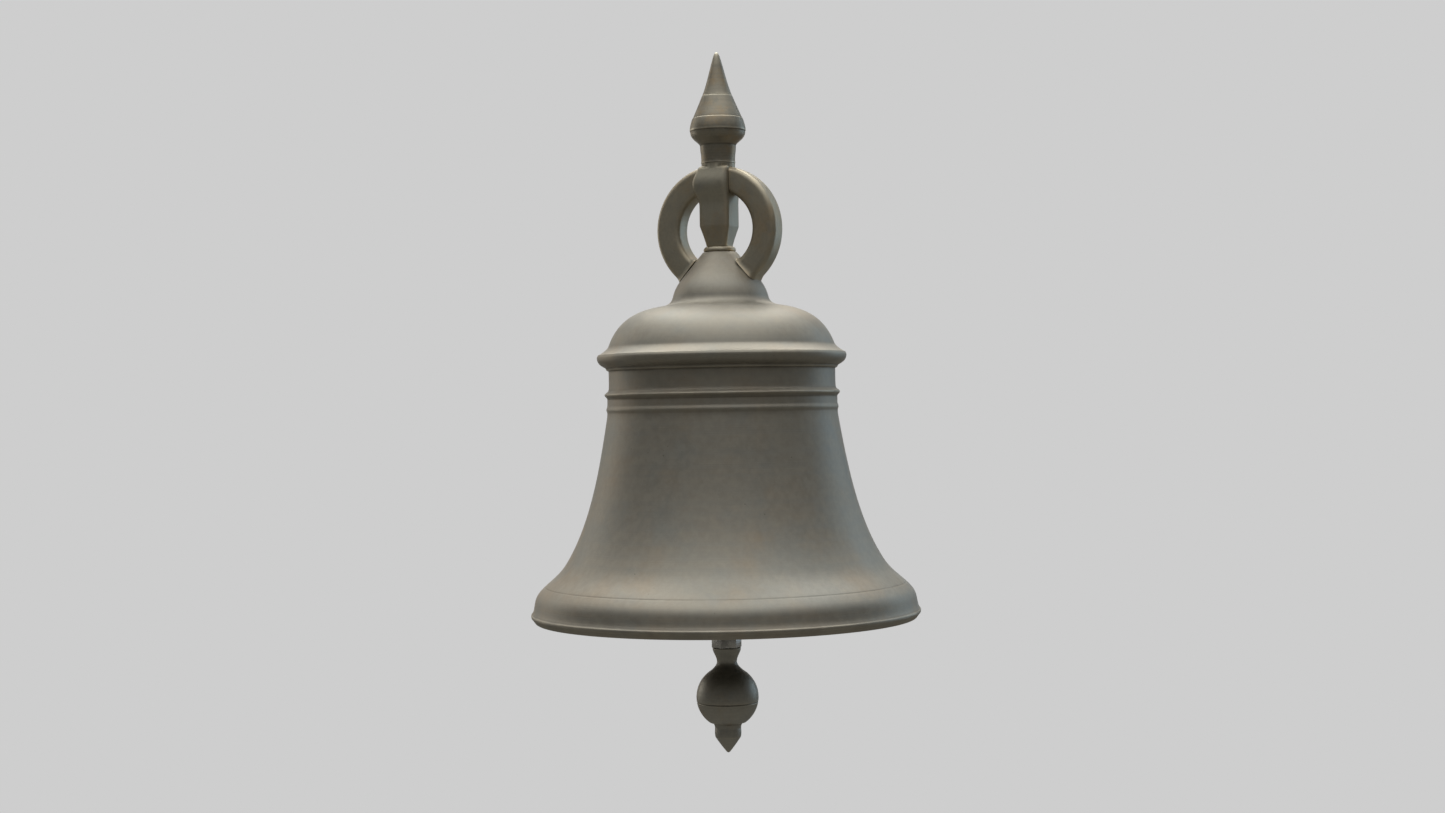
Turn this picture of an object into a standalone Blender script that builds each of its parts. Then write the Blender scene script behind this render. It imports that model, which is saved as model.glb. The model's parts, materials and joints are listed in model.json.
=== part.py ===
"""A hanging church bell: casting, crown post, canons, finial, crown staple and clapper.

Units are metres and +Z is up. The sizes are written as heights above the lip, which is how a founder draws
a bell, and the whole model then hangs from an empty, so that the origin is the centre of the canon ring.
The canons lie in the XZ plane, and the clapper swings about an axis along X.
"""

import math

import bmesh
import bpy
from mathutils import Matrix, Vector

# ---------------------------------------------------------------- driving sizes
GAP = 0.0003  # between two pieces that touch

# Bell casting, from the lip upwards
MOUTH_RADIUS = 0.2000
LIP_BEVEL_WIDTH = 0.0045
LIP_BEVEL_HEIGHT = 0.0065
LIP_FACE_WIDTH = 0.0115
LIP_BAND_HEIGHT = 0.0250
LIP_BAND_LEAN = 0.0050
FLARE_RADIUS = 0.1630
FLARE_HEIGHT = 0.0595
WAIST_RADIUS = 0.1188
WAIST_HEIGHT = 0.2090
LOWER_WIRE_RISE = 0.0075
LOWER_WIRE_RADIUS = 0.1199
UPPER_WIRE_RISE = 0.0225
UPPER_WIRE_RADIUS = 0.1212
FRIEZE_RISE = 0.0470
FRIEZE_RADIUS = 0.1165
RIM_RISE = 0.0132
RIM_RADIUS = 0.1285
DOME_BASE_RISE = 0.0118
DOME_RISE = 0.0405
DOME_TOP_RADIUS = 0.0620
NECK_BASE_RADIUS = 0.0493
NECK_KNEE_RADIUS = 0.0390
NECK_TOP_RADIUS = 0.0172
NECK_RISE = 0.0555
SOUND_BOW_DEPTH = 0.0240
SOUND_BOW_HEIGHT = 0.0300
WAIST_WALL = 0.0138
SHOULDER_WALL = 0.0125
CROWN_WALL = 0.0215
CROWN_UNDERSIDE_RADIUS = 0.0640

# Crown post, which stands on the neck collar
COLLAR_HEIGHT = 0.0050
COLLAR_RADIUS = 0.0166
POST_WIDTH = 0.0325
POST_DEPTH = 0.0335
POST_BASE_WIDTH = 0.0225
POST_TAPER_HEIGHT = 0.0205
POST_ABOVE_RING = 0.0010
POST_CORNER = 0.0035
SWELL_FORWARD = 0.0040
SWELL_HALF_HEIGHT = 0.0220
SWELL_CORNER = 0.0055
CHEEK_REACH = 0.0066
PAD_RADIUS = 0.0173
PAD_HEIGHT = 0.0020

# Canons: two halves of one ring, let into the post above and into the neck below
RING_CENTRE_RISE = 0.0230
RING_OUTER_RADIUS = 0.0650
RING_INNER_RADIUS = 0.0400
RING_THICKNESS = 0.0270
RING_CORNER = 0.0020
TENON_THICKNESS = 0.0150
TENON_HEIGHT = 0.0120
TENON_WALL = 0.0020
FOOT_TENON_HEIGHT = 0.0100
FOOT_TENON_DEPTH = 0.0150
FOOT_TENON_ROOT = 0.0050
CANON_PIN_RADIUS = 0.0020
CANON_PIN_COVER = 0.0040

# Finial, screwed on the end of the crown staple
FINIAL_NECK_RADIUS = 0.0176
FINIAL_NECK_HEIGHT = 0.0187
FINIAL_RIM_RADIUS = 0.0290
FINIAL_RIM_HEIGHT = 0.0155
FINIAL_BAND_HEIGHT = 0.0125
FINIAL_BAND_RADIUS = 0.0254
FINIAL_CONE_HEIGHT = 0.0230
FINIAL_JOINT_RADIUS = 0.0156
SPIKE_HEIGHT = 0.0448
SPIKE_STEP = 0.0003
SPIGOT_RADIUS = 0.0040
SPIGOT_LENGTH = 0.0150
NUT_POCKET_RADIUS = 0.0125

# Crown staple: flanged bolt with a fork, held by a nut on the post
BOLT_RADIUS = 0.0060
BOLT_THREAD_ABOVE_NUT = 0.0180
FLANGE_RADIUS = 0.0280
FLANGE_THICKNESS = 0.0070
GASKET_THICKNESS = 0.0024
GASKET_RADIUS = 0.0300
BRIDGE_THICKNESS = 0.0120
EAR_THICKNESS = 0.0090
EAR_RADIUS = 0.0140
PIVOT_DROP = 0.0380
NUT_FLATS = 0.0190
NUT_HEIGHT = 0.0100
NUT_WASHER_RADIUS = 0.0120
NUT_WASHER_THICKNESS = 0.0022

# Clapper pivot
PIN_RADIUS = 0.0060
PIN_HEAD_RADIUS = 0.0100
PIN_HEAD_THICKNESS = 0.0060
PIN_TAIL = 0.0070
PIN_WASHER_RADIUS = 0.0110
PIN_WASHER_THICKNESS = 0.0020
COTTER_WIRE_RADIUS = 0.0007
COTTER_LEG_LENGTH = 0.0110
BUSH_WALL = 0.0029
EYE_WIDTH = 0.0180
EYE_WALL = 0.0055
SIDE_WASHER_THICKNESS = 0.0020
SIDE_WASHER_RADIUS = 0.0135

# Clapper
SHANK_TOP_RADIUS = 0.0080
SHANK_FOOT_RADIUS = 0.0100
SHANK_THREAD_RADIUS = 0.0080
SHANK_FOOT_HEIGHT = 0.0120
LOCK_NUT_FLATS = 0.0270
LOCK_NUT_HEIGHT = 0.0120
BALL_NECK_TOP_HEIGHT = -0.0303
BALL_NECK_TOP_RADIUS = 0.0147
BALL_NECK_WALL = 0.0020
BALL_CENTRE_HEIGHT = -0.0810
BALL_RADIUS = 0.0320
BALL_GROOVE_DROP = 0.0050
BALL_GROOVE_DEPTH = 0.0006
BALL_FOOT_RADIUS = 0.0185
TIP_KNOB_RADIUS = 0.0135
TIP_LENGTH = 0.0310
TIP_BORE_DEPTH = 0.0120

BELL_SEGMENTS = 40
TURNED_SEGMENTS = 24
SMALL_SEGMENTS = 20

# ---------------------------------------------------------------- heights worked out from the sizes
BORE_RADIUS = BOLT_RADIUS + GAP
LOWER_WIRE_HEIGHT = WAIST_HEIGHT + LOWER_WIRE_RISE
UPPER_WIRE_HEIGHT = WAIST_HEIGHT + UPPER_WIRE_RISE
FRIEZE_HEIGHT = WAIST_HEIGHT + FRIEZE_RISE
RIM_HEIGHT = FRIEZE_HEIGHT + RIM_RISE
DOME_BASE_HEIGHT = RIM_HEIGHT + DOME_BASE_RISE
DOME_TOP_HEIGHT = DOME_BASE_HEIGHT + DOME_RISE
CROWN_UNDERSIDE_HEIGHT = DOME_TOP_HEIGHT - CROWN_WALL
NECK_TOP_HEIGHT = DOME_TOP_HEIGHT + NECK_RISE
RING_CENTRE_HEIGHT = NECK_TOP_HEIGHT + RING_CENTRE_RISE
COLLAR_BASE = NECK_TOP_HEIGHT + GAP
POST_BASE = COLLAR_BASE + COLLAR_HEIGHT + GAP
POST_FOLD = POST_BASE + POST_TAPER_HEIGHT
POST_SHOULDER = RING_CENTRE_HEIGHT + RING_OUTER_RADIUS + POST_ABOVE_RING
TENON_DEPTH = POST_WIDTH / 2 - BORE_RADIUS - TENON_WALL
SWELL_HEIGHT = POST_SHOULDER - SWELL_HALF_HEIGHT + 0.0020
POST_TOP = POST_SHOULDER + PAD_HEIGHT
FINIAL_BASE = POST_TOP + GAP
FINIAL_RIM = FINIAL_BASE + FINIAL_NECK_HEIGHT + FINIAL_RIM_HEIGHT
FINIAL_JOINT = FINIAL_RIM + FINIAL_BAND_HEIGHT + FINIAL_CONE_HEIGHT
NUT_WASHER_BASE = POST_TOP + GAP
NUT_BASE = NUT_WASHER_BASE + NUT_WASHER_THICKNESS + GAP
NUT_TOP = NUT_BASE + NUT_HEIGHT
BOLT_END = NUT_TOP + BOLT_THREAD_ABOVE_NUT
GASKET_TOP = CROWN_UNDERSIDE_HEIGHT - GAP
FLANGE_TOP = GASKET_TOP - GASKET_THICKNESS - GAP
FLANGE_BASE = FLANGE_TOP - FLANGE_THICKNESS
PIVOT_HEIGHT = FLANGE_TOP - PIVOT_DROP
BUSH_RADIUS = PIN_RADIUS + GAP + BUSH_WALL
BALL_NECK_RADIUS = SHANK_THREAD_RADIUS + GAP + BALL_NECK_WALL
EYE_BORE_RADIUS = BUSH_RADIUS + GAP
EYE_RADIUS = EYE_BORE_RADIUS + EYE_WALL
SIDE_WASHER_INNER = EYE_WIDTH / 2 + GAP
EAR_INNER = SIDE_WASHER_INNER + SIDE_WASHER_THICKNESS + GAP
EAR_OUTER = EAR_INNER + EAR_THICKNESS
LOCK_NUT_BASE = BALL_NECK_TOP_HEIGHT + GAP
TIP_TOP = BALL_CENTRE_HEIGHT - math.sqrt(BALL_RADIUS**2 - BALL_FOOT_RADIUS**2) - GAP

# ---------------------------------------------------------------- curves
def bezier(start, pull_start, pull_end, end, steps):
    """Points of a cubic curve in (radius, height), without its first point."""
    points = []
    for i in range(1, steps + 1):
        t = i / steps
        weights = ((1 - t) ** 3, 3 * t * (1 - t) ** 2, 3 * t * t * (1 - t), t**3)
        corners = (start, pull_start, pull_end, end)
        points.append(tuple(sum(w * c[k] for w, c in zip(weights, corners)) for k in (0, 1)))
    return points


def bead(height, peak, base_below, base_above, half_width):
    """A turned wire: a low round hill in radius, between two base radii."""
    points = []
    for share in (-1.0, -0.5, 0.0, 0.5, 1.0):
        base = base_below + (base_above - base_below) * (share + 1) / 2
        hill = 0.5 + 0.5 * math.cos(math.pi * share)
        points.append((base + (peak - base) * hill, height + share * half_width))
    return points


def circle_points(radius, count, turn=0.0):
    """Corners of a regular polygon, as (x, y)."""
    step = 2 * math.pi / count
    return [(radius * math.cos(turn + i * step), radius * math.sin(turn + i * step)) for i in range(count)]


def rounded_rectangle(width, depth, corner, steps=1):
    """Outline of a rectangle with round corners, counter-clockwise. One step makes a chamfer."""
    centres = [(1, 1, 0), (-1, 1, 90), (-1, -1, 180), (1, -1, 270)]
    points = []
    for x_side, y_side, start in centres:
        for i in range(steps + 1):
            angle = math.radians(start + 90 * i / steps)
            x = x_side * (width / 2 - corner) + corner * math.cos(angle)
            y = y_side * (depth / 2 - corner) + corner * math.sin(angle)
            points.append((x, y))
    return points


# ---------------------------------------------------------------- scene and materials
def clear_scene():
    for obj in list(bpy.data.objects):
        bpy.data.objects.remove(obj, do_unlink=True)


def material(name, colour, roughness, metallic):
    made = bpy.data.materials.new(name)
    made.use_nodes = True
    shader = made.node_tree.nodes["Principled BSDF"]
    shader.inputs["Base Color"].default_value = (*colour, 1.0)
    shader.inputs["Roughness"].default_value = roughness
    shader.inputs["Metallic"].default_value = metallic
    return made


def materials():
    """The finishes of the real bell, by name."""
    return {
        "bronze": material("bell_bronze", (0.205, 0.185, 0.150), 0.48, 1.0),
        "crown": material("crown_bronze", (0.150, 0.135, 0.105), 0.50, 1.0),
        "iron": material("forged_iron", (0.085, 0.082, 0.076), 0.60, 1.0),
        "steel": material("bright_steel", (0.420, 0.420, 0.410), 0.35, 1.0),
        "brass": material("bush_brass", (0.480, 0.350, 0.160), 0.35, 1.0),
        "leather": material("oiled_leather", (0.090, 0.050, 0.028), 0.75, 0.0),
    }


def empty(name, location, parent=None):
    made = bpy.data.objects.new(name, None)
    bpy.context.scene.collection.objects.link(made)
    made.location = location
    made.parent = parent
    return made


def place(name, mesh, finish, parent, smooth=True):
    """Puts a mesh in the scene as one node, shaded smooth but for its real edges."""
    made = bpy.data.objects.new(name, mesh)
    bpy.context.scene.collection.objects.link(made)
    made.parent = parent
    if finish:
        mesh.materials.append(finish)
    if smooth:
        mesh.shade_smooth()
        mesh.set_sharp_from_angle(angle=math.radians(35))
    return made


# ---------------------------------------------------------------- solids
def turned(name, profile, segments):
    """A mesh turned about Z from (radius, height) points.

    A profile that starts and ends on the axis is closed by it, and any other makes a ring."""
    shape = bmesh.new()
    corners = [shape.verts.new((radius, 0.0, height)) for radius, height in profile]
    on_axis = profile[0][0] == 0.0 and profile[-1][0] == 0.0
    pairs = list(zip(corners, corners[1:]))
    if not on_axis:
        pairs.append((corners[-1], corners[0]))
    edges = [shape.edges.new(pair) for pair in pairs]
    bmesh.ops.spin(
        shape,
        geom=corners + edges,
        cent=(0, 0, 0),
        axis=(0, 0, 1),
        angle=2 * math.pi,
        steps=segments,
        use_merge=True,
    )
    bmesh.ops.remove_doubles(shape, verts=shape.verts, dist=1e-7)
    bmesh.ops.recalc_face_normals(shape, faces=shape.faces)
    return finished(name, shape)


def lofted(name, sections):
    """A mesh through rings of points, all with the same count, closed at both ends."""
    shape = bmesh.new()
    rings = [[shape.verts.new(point) for point in section] for section in sections]
    for lower, upper in zip(rings, rings[1:]):
        for i in range(len(lower)):
            j = (i + 1) % len(lower)
            shape.faces.new((lower[i], lower[j], upper[j], upper[i]))
    shape.faces.new(list(reversed(rings[0])))
    shape.faces.new(rings[-1])
    bmesh.ops.recalc_face_normals(shape, faces=shape.faces)
    return finished(name, shape)


def finished(name, shape):
    mesh = bpy.data.meshes.new(name)
    shape.to_mesh(mesh)
    shape.free()
    return mesh


def box_mesh(name, low, high):
    corners = [(low[0], low[1]), (high[0], low[1]), (high[0], high[1]), (low[0], high[1])]
    return lofted(name, [[(x, y, z) for x, y in corners] for z in (low[2], high[2])])


def prism(name, outline, base, top):
    """A straight prism along Z over an (x, y) outline."""
    return lofted(name, [[(x, y, z) for x, y in outline] for z in (base, top)])


def rod_mesh(name, radius, base, top, segments=SMALL_SEGMENTS):
    return prism(name, circle_points(radius, segments), base, top)


ALONG_X = Matrix.Rotation(math.radians(90), 4, "Y")
ALONG_Y = Matrix.Rotation(math.radians(-90), 4, "X")


def moved(mesh, *steps):
    """The mesh with each matrix applied in turn."""
    for step in steps:
        mesh.transform(step)
    return mesh


def shifted(x=0.0, y=0.0, z=0.0):
    return Matrix.Translation((x, y, z))


def helper(name, mesh, parent):
    """An object that only shapes another one."""
    made = place(name, mesh, None, parent, smooth=False)
    made.hide_render = True
    made.display_type = "WIRE"
    return made


def combine(obj, mesh, operation):
    """Adds or cuts a helper mesh, with the exact solver."""
    tool = helper(f"{obj.name}_{mesh.name}", mesh, obj.parent)
    modifier = obj.modifiers.new(mesh.name, "BOOLEAN")
    modifier.operation = operation
    modifier.object = tool
    modifier.solver = "EXACT"


def cut(obj, *meshes):
    for mesh in meshes:
        combine(obj, mesh, "DIFFERENCE")


def join(obj, *meshes):
    for mesh in meshes:
        combine(obj, mesh, "UNION")


# ---------------------------------------------------------------- bell casting
def lip_profile():
    """Outer edge of the lip, from its flat face up to the start of the flare."""
    band_top = (MOUTH_RADIUS - LIP_BAND_LEAN, LIP_BAND_HEIGHT)
    edge = (MOUTH_RADIUS, LIP_BEVEL_HEIGHT)
    roll = (MOUTH_RADIUS, LIP_BEVEL_HEIGHT + 0.0020)
    shoulder = (band_top[0] - 0.0030, band_top[1] + 0.0068)
    points = [(MOUTH_RADIUS - LIP_BEVEL_WIDTH, 0.0), edge, roll]
    points += bezier(roll, (roll[0] - 0.0030, 0.0130), (band_top[0] + 0.0008, 0.0190), band_top, 3)
    points += bezier(
        band_top, (band_top[0] - 0.0004, 0.0290), (band_top[0] - 0.0010, 0.0304), shoulder, 2
    )
    return points


def waist_profile():
    """The flare and the long concave waist, up to the lower wire."""
    start = lip_profile()[-1]
    foot = (FLARE_RADIUS, FLARE_HEIGHT)
    top = (WAIST_RADIUS, WAIST_HEIGHT)
    rise = WAIST_HEIGHT - FLARE_HEIGHT
    points = bezier(
        start, (start[0] - 0.0090, start[1] + 0.0084), (foot[0] + 0.0050, foot[1] - 0.0070), foot, 3
    )
    points += bezier(
        foot, (foot[0] - 0.0235, foot[1] + 0.25 * rise), (top[0] + 0.0092, top[1] - 0.39 * rise), top, 7
    )
    return points


def shoulder_profile():
    """Both wires, the plain frieze and the shoulder rim."""
    valley = WAIST_RADIUS - 0.0002
    points = bead(LOWER_WIRE_HEIGHT, LOWER_WIRE_RADIUS, valley, valley - 0.0002, 0.0045)
    points += bead(UPPER_WIRE_HEIGHT, UPPER_WIRE_RADIUS, valley - 0.0002, FRIEZE_RADIUS + 0.0003, 0.0070)
    foot = (FRIEZE_RADIUS + 0.0002, FRIEZE_HEIGHT)
    fillet = (FRIEZE_RADIUS + 0.0030, FRIEZE_HEIGHT + 0.0030)
    nose = (RIM_RADIUS, RIM_HEIGHT)
    dome_base = (FRIEZE_RADIUS, DOME_BASE_HEIGHT)
    points += [foot, fillet]
    lower_pull = (RIM_RADIUS - 0.0030, RIM_HEIGHT - 0.0068)
    points += bezier(fillet, lower_pull, (RIM_RADIUS, RIM_HEIGHT - 0.0040), nose, 3)
    dome_pull = (FRIEZE_RADIUS + 0.0018, DOME_BASE_HEIGHT - 0.0028)
    points += bezier(nose, (RIM_RADIUS, RIM_HEIGHT + 0.0062), dome_pull, dome_base, 4)
    return points


def dome_profile():
    """The domed crown and the fillet up to the neck."""
    base = (FRIEZE_RADIUS, DOME_BASE_HEIGHT)
    top = (DOME_TOP_RADIUS, DOME_TOP_HEIGHT)
    rise = DOME_TOP_HEIGHT - DOME_BASE_HEIGHT
    neck = (NECK_BASE_RADIUS, DOME_TOP_HEIGHT + 0.0095)
    points = bezier(
        base, (base[0] - 0.0060, base[1] + 0.40 * rise), (base[0] - 0.0175, top[1] - 0.0050), top, 6
    )
    points += bezier(
        top, (top[0] - 0.0080, top[1] + 0.0013), (neck[0] + 0.0015, neck[1] - 0.0055), neck, 3
    )
    return points


def neck_knee():
    """Where the neck's rounded foot meets its straight cone."""
    return (NECK_KNEE_RADIUS, DOME_TOP_HEIGHT + 0.0290)


def neck_profile():
    """The conical neck, up to its flat seat."""
    foot = dome_profile()[-1]
    knee = neck_knee()
    lead = 0.0060
    slope = (NECK_TOP_HEIGHT - knee[1]) / (knee[0] - NECK_TOP_RADIUS)
    points = bezier(
        foot, (foot[0] - 0.0018, foot[1] + 0.0070), (knee[0] + lead, knee[1] - lead * slope), knee, 4
    )
    points.append((NECK_TOP_RADIUS, NECK_TOP_HEIGHT))
    return points


def inner_profile():
    """The inside of the bell, from the staple's bore down to the lip."""
    wall_top = (FRIEZE_RADIUS - SHOULDER_WALL, FRIEZE_HEIGHT)
    crown_edge = (CROWN_UNDERSIDE_RADIUS, CROWN_UNDERSIDE_HEIGHT)
    waist_top = (WAIST_RADIUS - WAIST_WALL, WAIST_HEIGHT)
    lip_edge = MOUTH_RADIUS - LIP_BEVEL_WIDTH - LIP_FACE_WIDTH
    bow = (lip_edge - SOUND_BOW_DEPTH, SOUND_BOW_HEIGHT)
    arch = CROWN_UNDERSIDE_HEIGHT - FRIEZE_HEIGHT
    drop = WAIST_HEIGHT - SOUND_BOW_HEIGHT
    points = [(BORE_RADIUS, NECK_TOP_HEIGHT), (BORE_RADIUS, CROWN_UNDERSIDE_HEIGHT), crown_edge]
    arch_pull = (wall_top[0], wall_top[1] + 0.55 * arch)
    points += bezier(crown_edge, (wall_top[0] - 0.0150, crown_edge[1]), arch_pull, wall_top, 4)
    waist_pull = (waist_top[0] + 0.0140, waist_top[1] - 0.46 * drop)
    points += bezier(waist_top, waist_pull, (bow[0] - 0.0260, bow[1] + 0.0280), bow, 6)
    points.append((lip_edge, 0.0))
    return points


def bell_casting(finish, parent):
    profile = lip_profile() + waist_profile() + shoulder_profile()
    profile += dome_profile() + neck_profile() + inner_profile()
    bell = place("bell_casting", turned("bell_casting", profile, BELL_SEGMENTS), finish, parent)
    cut(bell, *(foot_tenon(side, GAP, f"foot_socket_{side:+d}") for side in (-1, 1)))
    return bell


# ---------------------------------------------------------------- crown post and collar
def neck_collar(finish, parent):
    top = COLLAR_BASE + COLLAR_HEIGHT
    middle = COLLAR_BASE + COLLAR_HEIGHT / 2
    profile = [(BORE_RADIUS, COLLAR_BASE), (COLLAR_RADIUS - 0.0008, COLLAR_BASE)]
    profile += [(COLLAR_RADIUS, middle), (COLLAR_RADIUS - 0.0022, top), (BORE_RADIUS, top)]
    place("neck_collar", turned("neck_collar", profile, TURNED_SEGMENTS), finish, parent)


def swell(height):
    """How far the upper post has swelled at a height, from 0 to 1."""
    share = (height - SWELL_HEIGHT) / SWELL_HALF_HEIGHT
    return 0.5 + 0.5 * math.cos(math.pi * share) if abs(share) < 1 else 0.0


def post_section(height):
    """Outline of the post at a height. It swells most on the left, over the left canon's end."""
    share = min(1.0, (height - POST_BASE) / POST_TAPER_HEIGHT)
    width = POST_BASE_WIDTH + (POST_WIDTH - POST_BASE_WIDTH) * share
    depth = width + (POST_DEPTH - POST_WIDTH) * share + 2 * SWELL_FORWARD * swell(height)
    corner = POST_CORNER + (SWELL_CORNER - POST_CORNER) * swell(height)
    reach = CHEEK_REACH * swell(height)
    return [(x - reach if x < 0 else x, y, height) for x, y in rounded_rectangle(width, depth, corner, 3)]


def crown_post(finish, parent):
    """Square baluster bored for the bolt and mortised for the canons, with cheeks for the left one."""
    swell_base = SWELL_HEIGHT - SWELL_HALF_HEIGHT
    rows = [POST_BASE, POST_FOLD, swell_base]
    rows += [swell_base + 2 * SWELL_HALF_HEIGHT * i / 12 for i in range(1, 12)]
    shape = lofted("crown_post", [post_section(height) for height in rows])
    post = place("crown_post", shape, finish, parent)
    join(post, rod_mesh("pad", PAD_RADIUS, rows[-1] - 0.0010, POST_TOP, TURNED_SEGMENTS))
    half, side = RING_THICKNESS / 2 + GAP, POST_WIDTH / 2
    cut(post, rod_mesh("bolt_bore", BORE_RADIUS, POST_BASE - 0.01, POST_TOP + 0.01))
    cut(post, box_mesh("cheek_slot", (-side - 0.05, -half, POST_BASE), (-side, half, POST_TOP + 0.01)))
    for direction in (-1, 1):
        cut(post, top_tenon(direction, GAP, f"mortise_{direction:+d}"))
        cut(post, canon_pin_mesh(direction, GAP, f"pin_hole_{direction:+d}"))
    return post


# ---------------------------------------------------------------- canons
def ring_point(radius, angle):
    """(x, height) on the ring, with the angle from the top towards +X."""
    return (radius * math.sin(angle), RING_CENTRE_HEIGHT + radius * math.cos(angle))


def neck_radius(height):
    """Radius of the neck's outside at a height, at and above the knee."""
    knee = neck_knee()
    share = (height - knee[1]) / (NECK_TOP_HEIGHT - knee[1])
    return knee[0] + (NECK_TOP_RADIUS - knee[0]) * share


def foot_angle():
    """Where the ring's centreline runs into the neck, from the top."""
    radius = (RING_OUTER_RADIUS + RING_INNER_RADIUS) / 2
    angle = math.radians(90)
    while ring_point(radius, angle)[0] > neck_radius(ring_point(radius, angle)[1]):
        angle += math.radians(0.25)
    return angle


def tenon_height():
    """Height of the canons' upper tenons and of their pins."""
    return (ring_point(RING_OUTER_RADIUS, 0.0)[1] + ring_point(RING_INNER_RADIUS, 0.0)[1]) / 2


def top_tenon(side, clearance, name):
    """The canon's upper tenon, from inside the ring's bar into the post."""
    middle = tenon_height()
    face = POST_WIDTH / 2
    near = face - TENON_DEPTH - clearance
    low = (side * near, -TENON_THICKNESS / 2 - clearance, middle - TENON_HEIGHT / 2 - clearance)
    high = (side * (face + 0.0060), TENON_THICKNESS / 2 + clearance, middle + TENON_HEIGHT / 2 + clearance)
    xs = sorted((low[0], high[0]))
    return box_mesh(name, (xs[0], low[1], low[2]), (xs[1], high[1], high[2]))


def foot_tenon(side, clearance, name):
    """The canon's lower tenon, level, from the ring's bar into the neck."""
    radius = (RING_OUTER_RADIUS + RING_INNER_RADIUS) / 2
    face, height = ring_point(radius, foot_angle())
    near = face - FOOT_TENON_DEPTH - clearance
    far = face + FOOT_TENON_ROOT
    half = FOOT_TENON_HEIGHT / 2 + clearance
    xs = sorted((side * near, side * far))
    y = TENON_THICKNESS / 2 + clearance
    return box_mesh(name, (xs[0], -y, height - half), (xs[1], y, height + half))


def canon_pin_span():
    """(front end, back end) of a canon pin in Y. The back end is almost flush with the post."""
    face = POST_DEPTH / 2 + SWELL_FORWARD * swell(tenon_height())
    return (-face + CANON_PIN_COVER, face - 0.0016)


def canon_pin_mesh(side, clearance, name):
    """A canon pin, front to back through the post and the tenon. With clearance it is its blind hole."""
    front, back = canon_pin_span()
    if clearance:
        front, back = front - clearance, back + 0.0100
    x = side * (POST_WIDTH / 2 - TENON_DEPTH / 2)
    mesh = rod_mesh(name, CANON_PIN_RADIUS + clearance, front, back, 16)
    return moved(mesh, ALONG_Y, shifted(x=x, z=tenon_height()))


def neck_cutter():
    """The outside of the dome and neck, grown by the gap, to seat a canon's foot on it."""
    outline = [(radius + GAP, height + GAP) for radius, height in dome_profile()[:-1]]
    outline += [(radius + GAP, height) for radius, height in dome_profile()[-1:] + neck_profile()]
    outline = [(0.0, outline[0][1])] + outline + [(0.0, outline[-1][1])]
    return turned("neck_seat", outline, BELL_SEGMENTS)


def canon(name, side, finish, parent):
    """Half of the hanging ring: a chamfered bar from the post round to the neck."""
    start, stop = math.radians(8), foot_angle() + math.radians(14)
    section = rounded_rectangle(RING_OUTER_RADIUS - RING_INNER_RADIUS, RING_THICKNESS, RING_CORNER)
    middle = (RING_OUTER_RADIUS + RING_INNER_RADIUS) / 2
    steps = 18
    rings = []
    for i in range(steps + 1):
        angle = start + (stop - start) * i / steps
        row = []
        for offset, y in section:
            x, height = ring_point(middle + offset, angle)
            row.append((side * x, y, height))
        rings.append(row)
    bar = place(name, lofted(name, rings), finish, parent)
    face = POST_WIDTH / 2 + GAP
    reach = RING_OUTER_RADIUS + 0.02
    cut(bar, box_mesh("post_clearance", (-face, -reach, 0.2), (face, reach, 0.6)), neck_cutter())
    join(bar, top_tenon(side, 0.0, "top_tenon"), foot_tenon(side, 0.0, "foot_tenon"))
    cut(bar, canon_pin_mesh(side, GAP, "pin_hole"))
    return bar


# ---------------------------------------------------------------- finial
def finial_base(finish, parent):
    """Turned neck, rim and lower cone, hollow below for the nut and bored above for the spike."""
    neck_top = (FINIAL_NECK_RADIUS + 0.0010, FINIAL_BASE + FINIAL_NECK_HEIGHT)
    widest = (FINIAL_RIM_RADIUS, FINIAL_RIM)
    band = (FINIAL_BAND_RADIUS + 0.0008, FINIAL_RIM + FINIAL_BAND_HEIGHT - 0.0010)
    step = (FINIAL_BAND_RADIUS, FINIAL_RIM + FINIAL_BAND_HEIGHT)
    joint = (FINIAL_JOINT_RADIUS, FINIAL_JOINT)
    pocket_top = NUT_TOP + 0.0030
    bore_top = BOLT_END + 0.0020
    spigot_floor = FINIAL_JOINT - SPIGOT_LENGTH - 0.0010
    profile = [(0.0, bore_top), (BORE_RADIUS, bore_top), (BORE_RADIUS, pocket_top)]
    profile += [(NUT_POCKET_RADIUS, pocket_top), (NUT_POCKET_RADIUS, FINIAL_BASE)]
    profile += [(FINIAL_NECK_RADIUS + 0.0002, FINIAL_BASE)]
    profile += [(FINIAL_NECK_RADIUS - 0.0001, FINIAL_BASE + 0.0030)]
    profile += [(FINIAL_NECK_RADIUS + 0.0004, FINIAL_BASE + 0.0110), neck_top]
    profile += bezier(
        neck_top, (neck_top[0] + 0.0020, neck_top[1] + 0.0040), (widest[0], widest[1] - 0.0090), widest, 5
    )
    profile += bezier(
        widest, (widest[0], widest[1] + 0.0040), (band[0] + 0.0012, band[1] - 0.0030), band, 4
    )
    profile += [step]
    joint_pull = (joint[0] + 0.0028, joint[1] - 0.0070)
    profile += bezier(step, (step[0] - 0.0034, step[1] + 0.0080), joint_pull, joint, 4)
    bore = SPIGOT_RADIUS + GAP
    profile += [(bore, FINIAL_JOINT), (bore, spigot_floor), (0.0, spigot_floor)]
    place("finial_base", turned("finial_base", profile, TURNED_SEGMENTS), finish, parent)


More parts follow.
